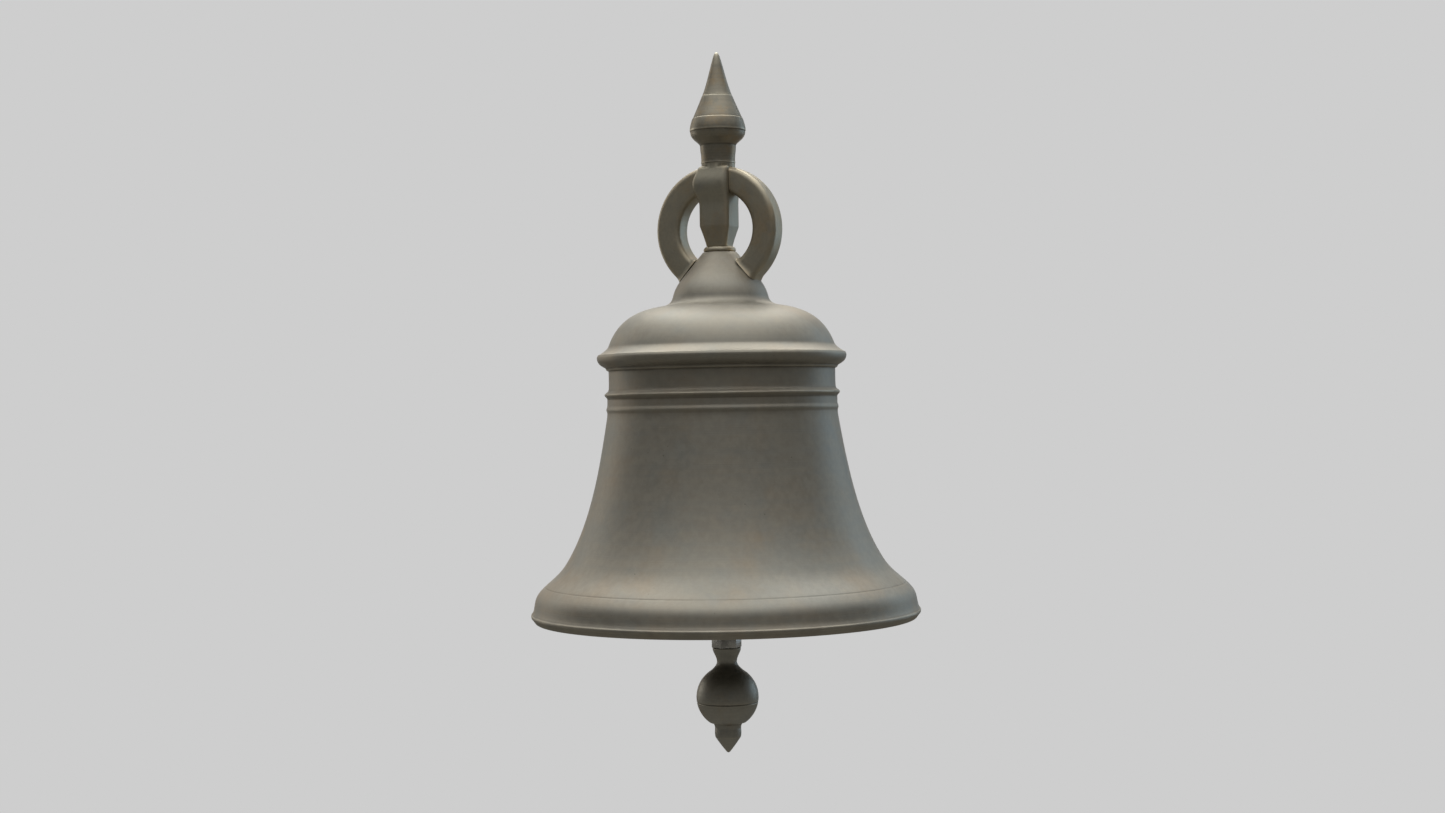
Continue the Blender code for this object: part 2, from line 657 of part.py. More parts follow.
def finial_spike(finish, parent):
    """The upper cone, with the spigot that screws into the base."""
    base = FINIAL_JOINT + GAP
    tip = base + SPIKE_HEIGHT
    shoulder = (FINIAL_JOINT_RADIUS - SPIKE_STEP, base)
    profile = [(0.0, base - SPIGOT_LENGTH), (SPIGOT_RADIUS, base - SPIGOT_LENGTH)]
    profile += [(SPIGOT_RADIUS, base), shoulder]
    profile += bezier(shoulder, (0.0098, base + 0.0150), (0.0100, tip - 0.0160), (0.0052, tip - 0.0085), 5)
    blunt = (0.0009, tip - 0.0004)
    profile += bezier(profile[-1], (0.0036, tip - 0.0052), (0.0022, tip - 0.0020), blunt, 3)
    profile += [(0.0, tip)]
    place("finial_spike", turned("finial_spike", profile, TURNED_SEGMENTS), finish, parent)


# ---------------------------------------------------------------- crown staple and its fastening
def crown_staple(finish, parent):
    """Bolt, flange and fork in one forging, with the pivot bore through both ears."""
    profile = [(0.0, FLANGE_BASE - 0.0010), (FLANGE_RADIUS - 0.0015, FLANGE_BASE - 0.0010)]
    profile += [(FLANGE_RADIUS, FLANGE_BASE), (FLANGE_RADIUS, FLANGE_TOP), (BOLT_RADIUS, FLANGE_TOP)]
    profile += [(BOLT_RADIUS, BOLT_END - 0.0010), (BOLT_RADIUS - 0.0010, BOLT_END), (0.0, BOLT_END)]
    staple = place("crown_staple", turned("crown_staple", profile, TURNED_SEGMENTS), finish, parent)
    outline = [(EAR_RADIUS, FLANGE_BASE), (-EAR_RADIUS, FLANGE_BASE)]
    for i in range(13):
        angle = math.radians(180 + 15 * i)
        outline.append((EAR_RADIUS * math.cos(angle), PIVOT_HEIGHT + EAR_RADIUS * math.sin(angle)))
    fork = lofted("fork", [[(x, y, z) for y, z in outline] for x in (-EAR_OUTER, EAR_OUTER)])
    gap_top = FLANGE_BASE - BRIDGE_THICKNESS
    slot = box_mesh("fork_slot", (-EAR_INNER, -0.05, PIVOT_HEIGHT - 0.05), (EAR_INNER, 0.05, gap_top))
    bore = moved(rod_mesh("pivot_bore", PIN_RADIUS + GAP, -0.05, 0.05), ALONG_X, shifted(z=PIVOT_HEIGHT))
    join(staple, fork)
    cut(staple, slot, bore)
    return staple


def ring_mesh(name, inner, outer, base, top, segments=TURNED_SEGMENTS):
    return turned(name, [(inner, base), (outer, base), (outer, top), (inner, top)], segments)


def hex_nut(name, flats, bore, base, height, finish, parent):
    """A hexagon nut with its corners turned off at both ends."""
    corner = flats / math.sqrt(3)
    hexagon = prism(name, circle_points(corner, 6, math.radians(30)), base, base + height)
    nut = place(name, hexagon, finish, parent)
    bevel = (corner - flats / 2) * 0.55
    low, high, wide = base - 0.001, base + height + 0.001, corner + 0.001
    profile = [(0.0, low), (flats / 2, low), (wide, base + bevel)]
    profile += [(wide, base + height - bevel), (flats / 2, high), (0.0, high)]
    combine(nut, turned("turned_corners", profile, SMALL_SEGMENTS), "INTERSECT")
    cut(nut, rod_mesh("thread_bore", bore, base - 0.01, base + height + 0.01))


def staple_fastening(finishes, parent):
    span = (GASKET_TOP - GASKET_THICKNESS, GASKET_TOP)
    gasket = ring_mesh("staple_gasket", BORE_RADIUS, GASKET_RADIUS, *span)
    place("staple_gasket", gasket, finishes["leather"], parent)
    span = (NUT_WASHER_BASE, NUT_WASHER_BASE + NUT_WASHER_THICKNESS)
    washer = ring_mesh("staple_washer", BORE_RADIUS, NUT_WASHER_RADIUS, *span)
    place("staple_washer", washer, finishes["steel"], parent)
    hex_nut("staple_nut", NUT_FLATS, BORE_RADIUS, NUT_BASE, NUT_HEIGHT, finishes["steel"], parent)


# ---------------------------------------------------------------- clapper pivot, about its own axis
def pivot_pin(finish, parent):
    head = EAR_OUTER + GAP
    tail = -(EAR_OUTER + GAP + PIN_WASHER_THICKNESS + PIN_TAIL)
    profile = [(0.0, tail), (PIN_RADIUS - 0.0008, tail), (PIN_RADIUS, tail + 0.0008), (PIN_RADIUS, head)]
    profile += [(PIN_HEAD_RADIUS, head), (PIN_HEAD_RADIUS, head + PIN_HEAD_THICKNESS - 0.0015)]
    profile += [(PIN_HEAD_RADIUS - 0.0020, head + PIN_HEAD_THICKNESS), (0.0, head + PIN_HEAD_THICKNESS)]
    pin = place("pivot_pin", moved(turned("pivot_pin", profile, SMALL_SEGMENTS), ALONG_X), finish, parent)
    hole = rod_mesh("cotter_hole", 2 * COTTER_WIRE_RADIUS + 0.0004, -0.02, 0.02, 16)
    cut(pin, moved(hole, shifted(x=cotter_x())))
    return pin


def cotter_x():
    """The cotter's place along the pin, just outside the washer."""
    washer = EAR_OUTER + GAP + PIN_WASHER_THICKNESS
    return -(washer + 2 * COTTER_WIRE_RADIUS + 0.0012)


def cotter_pin(finish, parent):
    """Split pin of half-round wire: an eye above the pin, two legs through it, and their ends spread."""
    leg = COTTER_WIRE_RADIUS + 0.0001
    eye = 0.0026
    eye_height = PIN_RADIUS + eye + 0.0012
    half = [(leg, -COTTER_LEG_LENGTH + 0.0022), (leg, -PIN_RADIUS), (leg, PIN_RADIUS)]
    half = [(leg + 0.0028, -COTTER_LEG_LENGTH)] + half
    for i in range(7):
        angle = math.radians(-62 + 152 * i / 6)
        half.append((eye * math.cos(angle), eye_height + eye * math.sin(angle)))
    points = half + [(-y, z) for y, z in reversed(half[:-1])]
    curve = bpy.data.curves.new("cotter_pin", "CURVE")
    curve.dimensions = "3D"
    curve.bevel_depth = COTTER_WIRE_RADIUS
    curve.bevel_resolution = 1
    curve.use_fill_caps = True
    spline = curve.splines.new("POLY")
    spline.points.add(len(points) - 1)
    for point, (y, z) in zip(spline.points, points):
        point.co = (cotter_x(), y, z, 1.0)
    curve.materials.append(finish)
    made = bpy.data.objects.new("cotter_pin", curve)
    bpy.context.scene.collection.objects.link(made)
    made.parent = parent


def pivot_rings(finishes, clapper, fork):
    """The bush in the clapper's eye, the leather side washers and the pin's end washer."""
    bore, half = PIN_RADIUS + GAP, EYE_WIDTH / 2
    bush = ring_mesh("clapper_bush", bore, BUSH_RADIUS, -half, half, SMALL_SEGMENTS)
    place("clapper_bush", moved(bush, ALONG_X), finishes["brass"], clapper)
    for side, name in ((-1, "side_washer_left"), (1, "side_washer_right")):
        faces = sorted((side * SIDE_WASHER_INNER, side * (SIDE_WASHER_INNER + SIDE_WASHER_THICKNESS)))
        washer = ring_mesh(name, bore, SIDE_WASHER_RADIUS, *faces, SMALL_SEGMENTS)
        place(name, moved(washer, ALONG_X), finishes["leather"], clapper)
    near = -(EAR_OUTER + GAP)
    far = near - PIN_WASHER_THICKNESS
    end = ring_mesh("pivot_washer", bore, PIN_WASHER_RADIUS, far, near, SMALL_SEGMENTS)
    place("pivot_washer", moved(end, ALONG_X), finishes["steel"], fork)


# ---------------------------------------------------------------- clapper, in heights from its pivot
def from_pivot(height):
    return height - PIVOT_HEIGHT


def clapper_shank(finish, parent):
    """Forged shank with its eye at the top and a long thread at the foot."""
    foot = from_pivot(SHANK_FOOT_HEIGHT)
    end = from_pivot(TIP_TOP - TIP_BORE_DEPTH + 0.0015)
    top = -EYE_BORE_RADIUS - EYE_WALL / 2
    profile = [(0.0, end), (SHANK_THREAD_RADIUS - 0.0012, end), (SHANK_THREAD_RADIUS, end + 0.0012)]
    profile += [(SHANK_THREAD_RADIUS, foot - 0.0020), (SHANK_FOOT_RADIUS, foot + 0.0020)]
    profile += [(SHANK_TOP_RADIUS, top - 0.0120), (SHANK_TOP_RADIUS, top), (0.0, top)]
    shank = place("clapper_shank", turned("clapper_shank", profile, SMALL_SEGMENTS), finish, parent)
    half = EYE_WIDTH / 2
    eye = moved(rod_mesh("eye", EYE_RADIUS, -half, half, TURNED_SEGMENTS), ALONG_X)
    bore = moved(rod_mesh("eye_bore", EYE_BORE_RADIUS, -half - 0.01, half + 0.01), ALONG_X)
    join(shank, eye)
    cut(shank, bore)
    return shank


def clapper_ball(finish, parent):
    """Turned neck and ball on the shank's thread, with a scribed line below the equator."""
    top = from_pivot(BALL_NECK_TOP_HEIGHT)
    centre = from_pivot(BALL_CENTRE_HEIGHT)
    bore = SHANK_THREAD_RADIUS + GAP
    neck = (BALL_NECK_RADIUS, top - 0.0145)
    join_angle = math.radians(32)
    cheek = (BALL_RADIUS * math.sin(join_angle), centre + BALL_RADIUS * math.cos(join_angle))
    groove = math.radians(90) + math.asin(BALL_GROOVE_DROP / BALL_RADIUS)
    last = math.pi - math.asin(BALL_FOOT_RADIUS / BALL_RADIUS)
    profile = [(bore, top), (BALL_NECK_TOP_RADIUS, top), (BALL_NECK_TOP_RADIUS - 0.0002, top - 0.0020)]
    flare_pull = (profile[-1][0] - 0.0010, top - 0.0060)
    profile += bezier(profile[-1], flare_pull, (neck[0], neck[1] + 0.0050), neck, 4)
    profile += bezier(neck, (neck[0], neck[1] - 0.0030), (cheek[0] - 0.0034, cheek[1] + 0.0028), cheek, 3)
    angles = [join_angle + (groove - join_angle) * i / 5 for i in range(1, 5)]
    angles += [groove - 0.025, groove, groove + 0.025]
    angles += [groove + (last - groove) * i / 4 for i in range(1, 5)]
    for angle in angles:
        radius = BALL_RADIUS - (BALL_GROOVE_DEPTH if angle == groove else 0.0)
        profile.append((radius * math.sin(angle), centre + radius * math.cos(angle)))
    profile.append((bore, profile[-1][1]))
    place("clapper_ball", turned("clapper_ball", profile, TURNED_SEGMENTS), finish, parent)


def clapper_tip(finish, parent):
    """The small spear point that screws on below and holds the ball."""
    top = from_pivot(TIP_TOP)
    tip = top - TIP_LENGTH
    floor = top - TIP_BORE_DEPTH
    bore = SHANK_THREAD_RADIUS + GAP
    knob_top = (TIP_KNOB_RADIUS, top - 0.0068)
    profile = [(0.0, floor), (bore, floor), (bore, top), (BALL_FOOT_RADIUS - 0.0020, top)]
    seat_pull = (profile[-1][0] - 0.0026, top - 0.0010)
    profile += bezier(profile[-1], seat_pull, (knob_top[0], knob_top[1] + 0.0028), knob_top, 4)
    profile += [(TIP_KNOB_RADIUS + 0.0002, top - 0.0105), (TIP_KNOB_RADIUS - 0.0004, top - 0.0148)]
    knob_pull, blunt = (TIP_KNOB_RADIUS - 0.0018, top - 0.0168), (0.0012, tip + 0.0008)
    profile += bezier(profile[-1], knob_pull, (0.0078, tip + 0.0082), blunt, 4)
    profile += [(0.0, tip)]
    place("clapper_tip", turned("clapper_tip", profile, TURNED_SEGMENTS), finish, parent)


# ---------------------------------------------------------------- assembly
def build():
    clear_scene()
    finishes = materials()
    bell = empty("bell_frame", Vector((0, 0, -RING_CENTRE_HEIGHT)))
    fork = empty("pivot_axis", Vector((0, 0, PIVOT_HEIGHT)), bell)
    clapper = empty("clapper_frame", Vector((0, 0, PIVOT_HEIGHT)), bell)

    bell_casting(finishes["bronze"], bell)
    neck_collar(finishes["crown"], bell)
    crown_post(finishes["crown"], bell)
    for name, side in (("canon_left", -1), ("canon_right", 1)):
        canon(name, side, finishes["crown"], bell)
        pin = name.replace("canon", "canon_pin")
        place(pin, canon_pin_mesh(side, 0.0, pin), finishes["iron"], bell)
    finial_base(finishes["crown"], bell)
    finial_spike(finishes["crown"], bell)
    crown_staple(finishes["iron"], bell)
    staple_fastening(finishes, bell)

    pivot_pin(finishes["steel"], fork)
    cotter_pin(finishes["steel"], fork)
    pivot_rings(finishes, clapper, fork)

    clapper_shank(finishes["iron"], clapper)
    nut_base = from_pivot(LOCK_NUT_BASE)
    bore = SHANK_THREAD_RADIUS + GAP
    hex_nut("clapper_lock_nut", LOCK_NUT_FLATS, bore, nut_base, LOCK_NUT_HEIGHT, finishes["steel"], clapper)
    clapper_ball(finishes["crown"], clapper)
    clapper_tip(finishes["crown"], clapper)


build()
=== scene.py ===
"""Finished surfaces of a hanging church bell, built around its working model.

Lengths are metres and +Z is up. The origin is the centre of the hanging ring, on the bell's axis. Every
sub-assembly is a class that holds its own sizes, builds its pieces and dresses them in a finish.
"""

import json
import logging
import math
from collections.abc import Iterable, Sequence
from dataclasses import dataclass, field
from enum import Enum
from typing import Any

import bmesh
import bpy
import numpy as np
from mathutils import Matrix, Vector


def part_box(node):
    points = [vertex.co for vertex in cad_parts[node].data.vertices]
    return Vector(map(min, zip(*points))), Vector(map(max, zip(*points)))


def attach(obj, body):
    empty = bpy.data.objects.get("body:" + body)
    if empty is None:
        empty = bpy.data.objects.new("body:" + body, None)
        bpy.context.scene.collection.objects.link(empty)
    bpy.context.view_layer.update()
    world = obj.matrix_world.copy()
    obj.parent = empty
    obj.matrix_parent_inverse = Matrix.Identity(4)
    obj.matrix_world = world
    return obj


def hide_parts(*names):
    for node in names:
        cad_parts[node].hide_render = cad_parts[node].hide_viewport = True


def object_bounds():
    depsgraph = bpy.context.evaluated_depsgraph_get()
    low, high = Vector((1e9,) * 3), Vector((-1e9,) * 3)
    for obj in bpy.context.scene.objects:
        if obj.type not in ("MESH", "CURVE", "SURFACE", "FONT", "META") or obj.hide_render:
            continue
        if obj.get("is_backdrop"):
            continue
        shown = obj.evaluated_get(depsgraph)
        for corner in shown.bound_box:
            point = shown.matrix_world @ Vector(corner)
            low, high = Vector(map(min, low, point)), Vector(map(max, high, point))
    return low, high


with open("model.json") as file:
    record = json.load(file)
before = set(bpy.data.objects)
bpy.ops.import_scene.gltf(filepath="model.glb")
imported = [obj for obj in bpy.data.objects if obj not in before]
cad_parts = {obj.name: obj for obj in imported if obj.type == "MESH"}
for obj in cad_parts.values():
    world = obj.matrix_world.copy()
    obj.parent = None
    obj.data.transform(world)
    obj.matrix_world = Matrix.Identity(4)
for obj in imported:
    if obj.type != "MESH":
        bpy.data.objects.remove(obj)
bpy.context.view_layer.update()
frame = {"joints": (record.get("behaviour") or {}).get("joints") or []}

LOG = logging.getLogger("church_bell")
GAP = 0.0003  # between two pieces that touch
WELD = 1e-6  # points nearer than this are one
CREASE = math.radians(38)  # edges sharper than this keep their crease in the shading
FULL_ROUND = 0.9999  # share of the half width that the largest rounding takes
ROWS_PER_TURN = 8  # rows of points along one turn of a thread
CAST_EDGE = 420.0  # curvature in 1/m that counts as a fully worn edge on a casting
FORGED_EDGE = 300.0  # the same on a forging
FINE_EDGE = 900.0  # the same on a small part

Point = tuple[float, float]
Place = tuple[float, float, float]
Colour = tuple[float, float, float]


class Body(Enum):
    """What a piece moves with."""

    BELL = "bell"
    CLAPPER = "clapper"


class Slot(Enum):
    """The record's material slots."""

    BELL_BRONZE = "bell_bronze"
    CROWN_BRONZE = "crown_bronze"
    FORGED_IRON = "forged_iron"
    BRIGHT_STEEL = "bright_steel"
    BUSH_BRASS = "bush_brass"
    OILED_LEATHER = "oiled_leather"


# ---------------------------------------------------------------- outlines
class Outline:
    """The outline of a turned piece, in (radius, height), drawn point after point."""

    def __init__(self, start: Point) -> None:
        """Starts the outline at a point."""
        self.points: list[Point] = [start]

    def line(self, *points: Point) -> "Outline":
        """Runs straight through each point in turn."""
        self.points.extend(points)
        return self

    def curve(self, leave: Point, arrive: Point, end: Point, steps: int = 14) -> "Outline":
        """Runs along a cubic curve from the last point.

        Args:
            leave: pull point at the start.
            arrive: pull point at the end.
            end: last point of the curve.
            steps: number of points added.

        Returns:
            The outline itself.
        """
        corners = (self.points[-1], leave, arrive, end)
        for step in range(1, steps + 1):
            t = step / steps
            weights = ((1 - t) ** 3, 3 * t * (1 - t) ** 2, 3 * t * t * (1 - t), t**3)
            radius, height = (sum(w * c[k] for w, c in zip(weights, corners)) for k in (0, 1))
            self.points.append((radius, height))
        return self

    def bend(self, leave: Point, arrive: Point, end: Point, steps: int = 14) -> "Outline":
        """Runs along a cubic curve whose pull points are given as seen from its two ends.

        Args:
            leave: pull point, seen from the last point.
            arrive: pull point, seen from the end.
            end: last point of the curve.
            steps: number of points added.

        Returns:
            The outline itself.
        """
        start = self.points[-1]
        pulls = [(at[0] + pull[0], at[1] + pull[1]) for at, pull in ((start, leave), (end, arrive))]
        return self.curve(*pulls, end, steps)

    def wire(self, height: float, peak: float, feet: Point, half_width: float,
             crown: float = 1.0) -> "Outline":
        """Adds a turned wire, a low hill in radius.

        Args:
            height: height of the wire's middle.
            peak: radius of its crest.
            feet: radius of the surface below it and above it.
            half_width: half its width along the axis.
            crown: 1 for a round hill, more for a narrower crest.

        Returns:
            The outline itself.
        """
        for step in range(17):
            share = -1 + step / 8
            foot = feet[0] + (feet[1] - feet[0]) * (share + 1) / 2
            hill = (0.5 + 0.5 * math.cos(math.pi * share)) ** crown
            self.points.append((foot + (peak - foot) * hill, height + share * half_width))
        return self

    def join(self, other: "Outline") -> "Outline":
        """Adds the points of another outline."""
        self.points.extend(other.points)
        return self

    def softened(self, radius: float, ring: bool = False, steps: int = 4) -> "Outline":
        """Rounds every corner that turns by more than 14 degrees.

        Args:
            radius: how far the rounding reaches along each side, at most.
            ring: True if the last point joins the first one.
            steps: number of sides of each rounding.

        Returns:
            A new outline.
        """
        count = len(self.points)
        out: list[Point] = []
        for i, here in enumerate(self.points):
            if not ring and i in (0, count - 1):
                out.append(here)
                continue
            corner = Vector(here)
            back = Vector(self.points[i - 1]) - corner
            ahead = Vector(self.points[(i + 1) % count]) - corner
            if min(back.length, ahead.length) < WELD or (-back).angle(ahead) < math.radians(14):
                out.append(here)
                continue
            first = corner + back.normalized() * min(radius, 0.45 * back.length)
            last = corner + ahead.normalized() * min(radius, 0.45 * ahead.length)
            for step in range(steps + 1):
                t = step / steps
                spot = first * (1 - t) ** 2 + corner * (2 * t * (1 - t)) + last * t * t
                out.append((spot.x, spot.y))
        made = Outline(out[0])
        return made.line(*out[1:])

    def divided(self, longest: float, ring: bool = False) -> "Outline":
        """Splits the straight runs so that none is longer than a length.

        Args:
            longest: the longest run left.
            ring: True if the last point joins the first one.

        Returns:
            A new outline.
        """
        made = Outline(self.points[0])
        ends = self.points[1:] + (self.points[:1] if ring else [])
        for end in ends:
            start = made.points[-1]
            pieces = max(1, math.ceil(math.dist(start, end) / longest))
            for k in range(1, pieces + 1):
                made.line(tuple(a + (b - a) * k / pieces for a, b in zip(start, end)))
        if ring:
            made.points.pop()
        return made


def smooth_step(low: float, high: float, value: Any) -> Any:
    """Rises from 0 at low to 1 at high with no corner, for a number or an array."""
    share = np.clip((value - low) / (high - low), 0.0, 1.0)
    return share * share * (3 - 2 * share)


def rounded_rectangle(width: float, depth: float, corner: float, steps: int = 6,
                      flats: int = 1) -> list[Point]:
    """Points round a rectangle with round corners, counter-clockwise.

    Args:
        width: its size along X.
        depth: its size along Y.
        corner: radius of the corners.
        steps: sides of each corner.
        flats: runs that each straight side is split into.

    Returns:
        The points.
    """
    corners = []
    for x_side, y_side, start in ((1, 1, 0), (-1, 1, 90), (-1, -1, 180), (1, -1, 270)):
        for i in range(steps + 1):
            angle = math.radians(start + 90 * i / steps)
            x = x_side * (width / 2 - corner) + corner * math.cos(angle)
            y = y_side * (depth / 2 - corner) + corner * math.sin(angle)
            corners.append((x, y))
    points = []
    for i, here in enumerate(corners):
        points.append(here)
        if (i + 1) % (steps + 1) == 0:
            there = Vector(corners[(i + 1) % len(corners)])
            points.extend(tuple(Vector(here).lerp(there, k / flats)) for k in range(1, flats))
    return points


def polygon(radius: float, count: int, turn: float = 0.0) -> list[Point]:
    """Corners of a regular polygon."""
    angles = [turn + 2 * math.pi * i / count for i in range(count)]
    return [(radius * math.cos(angle), radius * math.sin(angle)) for angle in angles]


# ---------------------------------------------------------------- shader node groups
class Graph:
    """Short calls for building a shader or a geometry node tree."""

    def __init__(self, tree: bpy.types.NodeTree, source: Any = None, target: Any = None) -> None:
        """Takes the tree that the nodes go into, with a group's inputs and outputs if it has them.

        Args:
            tree: the node tree.
            source: the group's inputs.
            target: the group's outputs.
        """
        self.tree = tree
        self.source = source
        self.target = target

    def node(self, kind: str, feeds: dict[str | int, Any] | None = None, **settings: Any) -> bpy.types.Node:
        """Adds a node, sets its properties and feeds its inputs.

        Args:
            kind: the node's type.
            feeds: its inputs by name or place.
            settings: its properties.

        Returns:
            The node.
        """
        made = self.tree.nodes.new(kind)
        for name, value in settings.items():
            setattr(made, name, value)
        for socket, value in (feeds or {}).items():
            self.feed(made.inputs[socket], value)
        return made

    def feed(self, target: bpy.types.NodeSocket, value: Any) -> None:
        """Links a socket to an input, or writes a number on it.

        Args:
            target: the input.
            value: a socket, a number or a colour.
        """
        if isinstance(value, bpy.types.NodeSocket):
            self.tree.links.new(value, target)
        elif isinstance(value, (int, float)) and target.type in ("RGBA", "VECTOR"):
            target.default_value = (value,) * len(target.default_value)
        else:
            target.default_value = value

    def math(self, operation: str, *values: Any) -> bpy.types.NodeSocket:
        """Adds a Math node and returns its result.

        Args:
            operation: the node's operation.
            values: what goes into it.

        Returns:
            Its result.
        """
        made = self.node("ShaderNodeMath", operation=operation)
        for target, value in zip(made.inputs, values):
            self.feed(target, value)
        return made.outputs[0]

    def times(self, first: Any, second: Any) -> bpy.types.NodeSocket:
        """Multiplies two values."""
        return self.math("MULTIPLY", first, second)

    def plus(self, first: Any, second: Any) -> bpy.types.NodeSocket:
        """Adds two values."""
        return self.math("ADD", first, second)

    def minus(self, first: Any, second: Any) -> bpy.types.NodeSocket:
        """Takes the second value from the first."""
        return self.math("SUBTRACT", first, second)

    def over(self, first: Any, second: Any) -> bpy.types.NodeSocket:
        """Divides the first value by the second."""
        return self.math("DIVIDE", first, second)

    def give(self, label: str, value: Any) -> None:
        """Feeds one of the group's outputs."""
        self.feed(self.target[label], value)

    def place(self) -> bpy.types.NodeSocket:
        """The Object coordinates."""
        return self.node("ShaderNodeTexCoord").outputs["Object"]

    def split(self, vector: Any) -> bpy.types.NodeOutputs:
        """Splits a vector into its three coordinates."""
        return self.node("ShaderNodeSeparateXYZ", {0: vector}).outputs

    def mix(self, share: Any, first: Any, second: Any, blend: str = "MIX") -> bpy.types.NodeSocket:
        """Mixes two colours and returns the result."""
        feeds = {0: share, 6: first, 7: second}
        return self.node("ShaderNodeMix", feeds, data_type="RGBA", blend_type=blend).outputs[2]

    def seen(self, hidden: Any, shown: Any) -> bpy.types.NodeSocket:
        """Mixes two shaders: one for the light that falls on things, one for what the camera sees."""
        camera_ray = self.node("ShaderNodeLightPath").outputs["Is Camera Ray"]
        return self.node("ShaderNodeMixShader", {0: camera_ray, 1: hidden, 2: shown}).outputs[0]

    def ramp(self, value: Any, low: float, high: float, bottom: float = 0.0, top: float = 1.0) -> Any:
        """Maps a value from one span to another with soft ends.

        Args:
            value: the value.
            low: where the first span starts.
            high: where it ends.
            bottom: what the start becomes.
            top: what the end becomes.

        Returns:
            The mapped value.
        """
        made = self.node("ShaderNodeMapRange", interpolation_type="SMOOTHSTEP")
        for target, number in zip(made.inputs, (value, low, high, bottom, top)):
            self.feed(target, number)
        return made.outputs[0]

    def noise(self, vector: Any, scale: Any, detail: float = 3.0, roughness: float = 0.55) -> Any:
        """Adds a noise texture and returns its value."""
        feeds = {"Vector": vector, "Scale": scale, "Detail": detail, "Roughness": roughness}
        return self.node("ShaderNodeTexNoise", feeds).outputs["Fac"]


def new_group(name: str, kind: str, inputs: dict[str, Any], outputs: dict[str, str]) -> Graph:
    """Starts a node group with named sockets.

    Args:
        name: the group's name.
        kind: the type of node tree.
        inputs: each input's name with its default value, or with a socket type.
        outputs: each output's name with its socket type.

    Returns:
        A graph on the new group, with its Group Input and Group Output in place.
    """
    tree = bpy.data.node_groups.new(name, kind)
    for label, value in inputs.items():
        if isinstance(value, str):
            tree.interface.new_socket(label, in_out="INPUT", socket_type=value)
            continue
        whole = isinstance(value, int)
        plain = "NodeSocketInt" if whole else "NodeSocketFloat"
        socket_type = "NodeSocketColor" if isinstance(value, tuple) else plain
        socket = tree.interface.new_socket(label, in_out="INPUT", socket_type=socket_type)
        socket.default_value = (*value, 1.0) if isinstance(value, tuple) else value
    for label, socket_type in outputs.items():
        tree.interface.new_socket(label, in_out="OUTPUT", socket_type=socket_type)
    source, target = (tree.nodes.new(f"NodeGroup{end}") for end in ("Input", "Output"))
    return Graph(tree, source.outputs, target.inputs)


LOOK = {"Colour": "NodeSocketColor", "Roughness": "NodeSocketFloat", "Height": "NodeSocketFloat"}


def tarnish_group() -> bpy.types.NodeTree:
    """Slow clouds of warm and cool tarnish over a metal, with a finer mottle inside them.

    Returns:
        The node group.
    """
    inputs = {"Metal": (0.3, 0.3, 0.3), "Warm": (0.3, 0.2, 0.1), "Cool": (0.2, 0.2, 0.2), "Size": 6.0}
    inputs |= {"Strength": 0.5, "Roughness": 0.45, "Spread": 0.08}
    graph = new_group("tarnish", "ShaderNodeTree", inputs, LOOK)
    given = graph.source
    where = graph.place()
    cloud = graph.noise(where, given["Size"], 4.0, 0.6)
    second = graph.noise(where, graph.times(given["Size"], 1.7), 5.0, 0.6)
    mottle = graph.noise(where, graph.times(given["Size"], 14.0), 4.0, 0.65)
    warm = graph.times(graph.ramp(cloud, 0.46, 0.68), given["Strength"])
    cool = graph.times(graph.ramp(second, 0.48, 0.66), given["Strength"])
    colour = graph.mix(cool, graph.mix(warm, given["Metal"], given["Warm"]), given["Cool"])
    grey = graph.node("ShaderNodeCombineColor")
    for socket in grey.inputs:
        graph.feed(socket, graph.ramp(mottle, 0.3, 0.7, 0.92, 1.06))
    graph.give("Colour", graph.mix(1.0, colour, grey.outputs[0], "MULTIPLY"))
    swing = graph.ramp(mottle, 0.3, 0.7, -1.0, 1.0)
    rough = graph.math("MULTIPLY_ADD", swing, given["Spread"], given["Roughness"])
    graph.give("Roughness", rough)
    graph.give("Height", mottle)
    return graph.tree


def wear_group() -> bpy.types.NodeTree:
    """Bright rubbed edges and dark dirt in the hollows, from the mesh's own edge attributes.

    Returns:
        The node group.
    """
    inputs = {"Colour": (0.3, 0.3, 0.3), "Roughness": 0.45, "Bright": (0.6, 0.5, 0.4)}
    inputs |= {"Dirt": (0.03, 0.03, 0.02), "Rubbing": 0.6, "Dirtiness": 0.7, "Patchiness": 40.0}
    graph = new_group("edge_wear", "ShaderNodeTree", inputs, {k: LOOK[k] for k in ("Colour", "Roughness")})
    given = graph.source
    where = graph.place()
    patches = graph.noise(where, given["Patchiness"], 4.0, 0.6)
    worn = graph.node("ShaderNodeAttribute", attribute_name="worn").outputs["Fac"]
    hollow = graph.node("ShaderNodeAttribute", attribute_name="hollow").outputs["Fac"]
    rubbed = graph.times(worn, graph.ramp(patches, 0.34, 0.62, 0.25, 1.0))
    rubbed = graph.times(rubbed, given["Rubbing"])
    dirty = graph.times(hollow, graph.ramp(patches, 0.70, 0.40, 0.45, 1.0))
    dirty = graph.times(dirty, given["Dirtiness"])
    colour = graph.mix(dirty, graph.mix(rubbed, given["Colour"], given["Bright"]), given["Dirt"])
    graph.give("Colour", colour)
    smoother = graph.math("MULTIPLY_ADD", rubbed, -0.12, given["Roughness"])
    graph.give("Roughness", graph.math("MULTIPLY_ADD", dirty, 0.25, smoother))
    return graph.tree


